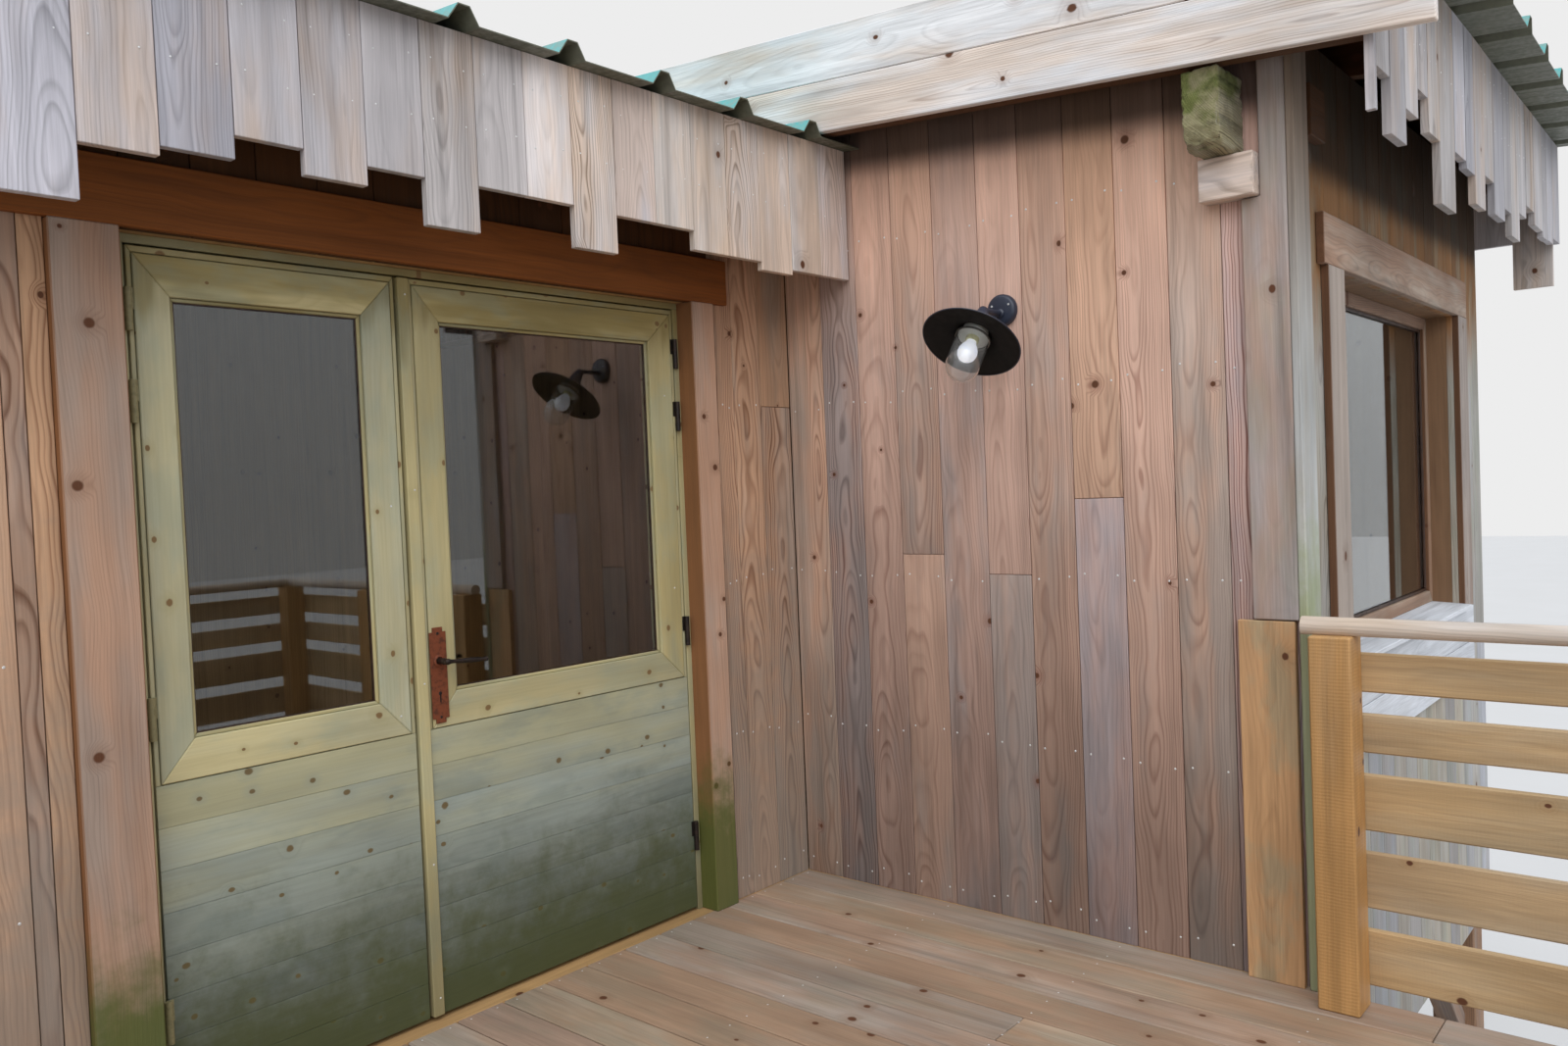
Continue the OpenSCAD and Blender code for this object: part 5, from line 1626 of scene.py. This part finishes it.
@dataclass
class WallLamp:
    """Outdoor lamp: wall plate, bent arm, enamelled dish shade, glass dome in a collar, and bulb."""

    along: float = -881.0
    height: float = 1903.0
    plate_radius: float = 49.0
    plate_depth: float = 22.0
    screws: Span = (29.0, 14.0)
    screw_head: Span = (4.0, 1.5)
    rim: Span = (-198.0, 1790.0)
    tilt: float = 37.0
    radius: float = 150.0
    depth: float = 56.0
    neck: float = 56.0
    arm_drop: float = 10.0
    dome_radius: float = 51.0
    dome_length: float = 136.0
    dome_thick: float = 2.5

    def build(self) -> None:
        """Build the lamp's parts on its own tilted axis."""
        r, cap, neck, rim, deep = self.radius, self.depth, self.neck, self.plate_radius, self.plate_depth
        d, e = self.dome_radius, self.dome_radius - self.dome_thick
        axis = stand(self.rim[0], self.along, self.rim[1], self.tilt, "Y")
        wall = stand(0, self.along, self.height, -90, "Y")
        # The arm leaves the plate level, and meets the axis at the elbow.
        start, level, tilt = 1 - deep, self.height - self.arm_drop, math.radians(self.tilt)
        arm = stand(start, self.along, level, -90, "Y")
        elbow = (level - self.rim[1]) / math.cos(tilt)
        reach = start - self.rim[0] - elbow * math.sin(tilt)
        plate = [(0, 0.3), (rim, 0.3), (rim, deep - 7), (rim - 4, deep - 2), (rim - 11, deep), (0, deep)]
        rod = [(0, 0), (14, 0), (14, 5), (9, 8), (9, reach), (0, reach)]
        crown = [(0, cap - 1), (neck - 16, cap - 1), (neck - 20, cap + 7), (26, cap + 20)]
        crown += [(18, elbow - 8), (13, elbow + 6), (0, elbow + 11)]
        bracket = Turned("lamp_bracket_steel", Finish.ENAMEL, slot="lamp_steel", replaces=("lamp_bracket",))
        bracket.spin(plate, wall, 40).spin(rod, arm, 24).spin(crown, axis, 32).finished()
        shell = [(r - 3, 0), (r, 0.6), (r + 0.5, 2.2), (r - 1, 4), (r - 24, 9), (r - 60, 19)]
        shell += [(neck + 5, cap - 24), (neck, cap - 18), (neck, cap - 6), (neck - 4, cap), (0, cap)]
        inside = [(0, cap - 4), (neck - 7, cap - 4), (neck - 2, cap - 9), (neck - 2, cap - 20)]
        inside += [(neck + 2, cap - 27), (r - 61, 16), (r - 25, 6.5), (r - 3, 1.5)]
        coat = [(max(radius - 0.5, 0.0), height - 0.5) for radius, height in reversed(inside)]
        collar = [(d + 0.4, 13), (d + 2.6, 13), (d + 2.6, 20), (d + 0.4, 20)]
        ring = [(19, 18), (d - 5, 18), (d - 3.5, 20), (d - 3.5, 27), (d - 12, 30), (d - 12, cap - 6), (19, cap - 6)]
        foot, turns = d - self.dome_length, [math.radians(k) for k in range(-81, 1, 9)]
        outer, inner = ([(bow * math.cos(a), foot + bow * math.sin(a)) for a in turns] for bow in (d, e))
        dome = [(0, foot - d), *outer, (d, 20), (e, 20), *reversed(inner), (0, foot - e)]
        bulb = [(0, -67), (10, -65.5), (20, -60), (27.5, -51), (30, -40), (29, -29), (25, -18), (19, -8)]
        bulb += [(16, 0), (15, 4), (0, 5)]
        socket = [(0, 4), (19, 4), (20, 8), (20, 22), (17, 26), (17, cap - 6), (0, cap - 6)]
        for name, finish, slot, replaced, outline, steps in (
            ("lamp_shade_enamel", Finish.ENAMEL, "lamp_steel", ("lamp_shade",), shell + inside, 64),
            ("lamp_shade_lining", Finish.ENAMEL_BLACK, "lamp_steel", (), inside + coat, 64),
            ("lamp_glass_collar", Finish.COLLAR, "lamp_steel", (), collar, 40),
            ("lamp_glass_ring", Finish.RING, "lamp_steel", (), ring, 40),
            ("lamp_glass_dome", Finish.DOME, "clear_glass", ("lamp_glass",), dome, 40),
            ("lamp_bulb_opal", Finish.OPAL, "bulb_glass", ("lamp_bulb",), bulb, 32),
            ("lamp_socket", Finish.PORCELAIN, "lamp_steel", (), socket, 28),
        ):
            Turned(name, finish, "house", slot, replaced).spin(outline, axis, steps).finished()
        screws = Fixings("lamp_plate_screws", Finish.ZINC, slot="lamp_steel")
        aside, above = self.screws
        for side in (-aside, aside):
            screws.head(at(-deep, self.along + side, self.height + above), -X, *self.screw_head)
        screws.finished()


@dataclass
class Roof:
    """Ribbed sheets as packed, with screws and washers on their crowns, and nails of the fringe.

    A slope is its edge and height at the eave, where it starts and stops, and one of its ribs.
    Rib height, washer's top and what is said of nails and nailed boards are in metres.
    """

    slopes: tuple[tuple[float, ...], ...] = (
        (-355.0, 2512.0, -math.inf, -60.0, -250.0),
        (-2130.0, 2681.0, -178.0, math.inf, 75.0),
    )
    rib_pitch: float = 325.0
    ribs_aside: int = 14
    rib_height: float = 0.0433
    row_pitch: float = 800.0
    row_end: float = 110.0
    margin: float = 50.0
    washer: Span = (9.0, 1.6)
    washer_top: float = 0.0014
    screw: Span = (5.0, 4.5)
    nail: Span = (2.6, 0.8)
    nail_edge: float = 0.028
    nail_stray: float = 0.01
    nailed_width: float = 0.07
    chance: random.Random = field(default_factory=lambda: random.Random(7))

    def build(self) -> None:
        """Finish the sheets and set their screws."""
        Finish.ROOF.dress(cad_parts["roof_sheets"])
        screws = Fixings("roof_screws", Finish.ZINC, slot="roof_steel")
        up = Vector((0, -math.sin(SLOPE), math.cos(SLOPE)))
        low, high = plan_box("roof_sheets")
        for edge, eave, start, stop, rib in self.slopes:
            length = (high.y - edge) / math.cos(SLOPE)
            count = length // self.row_pitch
            start, stop = max(start, low.x) + self.margin, min(stop, high.x) - self.margin
            for x in (rib + k * self.rib_pitch for k in range(-self.ribs_aside, self.ribs_aside)):
                if not start < x < stop:
                    continue
                for k in range(int(count) + 1):
                    run = self.row_end + k * (length - 2 * self.row_end) / count
                    foot = at(x, edge + run * math.cos(SLOPE), eave + run * math.sin(SLOPE))
                    foot += up * self.rib_height
                    screws.head(foot, up, *self.washer)
                    screws.head(foot + up * self.washer_top, up, *self.screw)
        screws.finished()
        self._nail_fringe("main_fringe", (90.0, 230.0))
        self._nail_fringe("wing_fringe", (70.0, 215.0))

    def _nail_fringe(self, node: str, drops: Sequence[float]) -> None:
        """Set two rows of nails in a fringe's boards.

        Args:
            node: the fringe's CAD node.
            drops: the rows' distances below the boards' tops, in millimetres.
        """
        nails = Fixings(f"{node}_nails", Finish.ZINC)
        for solid in node_solids(node):
            (x0, x1), front, top = extent(solid, X), extent(solid, Y)[0], extent(solid, Z)[1]
            if x1 - x0 > self.nailed_width:
                for drop in drops:
                    for side in (x0 + self.nail_edge, x1 - self.nail_edge):
                        height = top - drop / 1000 + self.chance.uniform(-self.nail_stray, self.nail_stray)
                        nails.head(Vector((side, front, height)), -Y, *self.nail)
            solid.free()
        nails.finished()


@dataclass
class Studio:
    """Pale floor, soft even light and the camera where the picture was taken."""

    eye: tuple[float, float, float] = (-3200.0, -2710.0, 1382.0)
    ahead: tuple[float, float, float] = (0.75694, 0.65284, -0.02913)
    above: tuple[float, float, float] = (0.04942, -0.01274, 0.9987)
    focal_pixels: float = 1190.0
    frame_pixels: float = 1600.0
    film_width: float = 36.0
    floor_size: float = 60.0
    sky: str = "#f1f4f9"
    sky_strength: Span = (0.46, 1.9)
    backdrop: str = "#ededed"
    sun: Vector = Vector((0.75, 0.62, -0.75)).freeze()
    sun_strength: float = 1.5
    sun_spread: float = 62.0

    def build(self) -> None:
        """Make floor, light and camera."""
        scene = bpy.context.scene
        scene.view_settings.view_transform = "Standard"
        surface = bmesh.new()
        bmesh.ops.create_grid(surface, x_segments=2, y_segments=2, size=self.floor_size)
        data = bpy.data.meshes.new("studio_floor")
        surface.to_mesh(data)
        surface.free()
        floor = link("studio_floor", data)
        Finish.FLOOR.dress(floor)
        self._light()
        camera = bpy.data.cameras.new("camera")
        camera.sensor_width = self.film_width
        camera.lens = camera.sensor_width * self.focal_pixels / self.frame_pixels
        camera.clip_start, camera.clip_end = 0.05, 300.0
        ahead = Vector(self.ahead).normalized()
        right = ahead.cross(Vector(self.above)).normalized()
        turn = Matrix((right, right.cross(ahead), -ahead)).transposed().to_4x4()
        scene.camera = link("camera", camera)
        scene.camera.matrix_world = Matrix.Translation(at(*self.eye)) @ turn

    def _light(self) -> None:
        """Light the house as an overcast sky does, with a broad soft lamp from the camera's side."""
        world = bpy.data.worlds.new("overcast")
        bpy.context.scene.world = world
        world.use_nodes = True
        world.node_tree.nodes.clear()
        put = partial(add, world.node_tree)
        # As under an even cloud, the light from straight above is the strongest.
        rise = put("SeparateXYZ", put("TexCoord").node.outputs["Generated"]).node.outputs[2]
        sky = put("Background", linear(self.sky), put("MapRange", rise, 0.0, 1.0, *self.sky_strength))
        backdrop = put("Background", linear(self.backdrop), 1.0)
        path = put("LightPath").node.outputs
        seen = put("Math MAXIMUM", path["Is Camera Ray"], path["Is Transmission Ray"])
        put("OutputWorld", put("MixShader", seen, sky, backdrop))
        sun = bpy.data.lights.new("soft_sun", "SUN")
        sun.energy, sun.angle = self.sun_strength, math.radians(self.sun_spread)
        link("soft_sun", sun).rotation_euler = self.sun.to_track_quat("-Z", "Y").to_euler()


def main() -> None:
    """Build the house in order, then the studio."""
    logging.basicConfig(level=logging.INFO, format="%(message)s")
    Walls().build()
    Timbers().build()
    Floors().build()
    Leaf(
        side="left", left_edge=-2176.0, right_edge=-1527.0, tones=Tones((1.04, 1.16), (-0.08, 0.1), (0.3, 0.6)),
        studs=((-1566, 1380), (-1568, 830)),
    ).build()
    Leaf(
        side="right", left_edge=-1486.0, right_edge=-523.0, tones=Tones((0.92, 1.04), (0.03, 0.16), (0.15, 0.4)),
        studs=((-571, 1700), (-563, 1075)), strip_studs=(1935, 1420, 905, 420, 60),
    ).build()
    DoorFurniture().build()
    Window().build()
    OuterCorner().build()
    WallLamp().build()
    Roof().build()
    for pane in ("left_glass", "right_glass", "window_glass"):
        Finish.PANE.dress(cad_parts[pane])
    Studio().build()


if __name__ == "__main__":
    main()
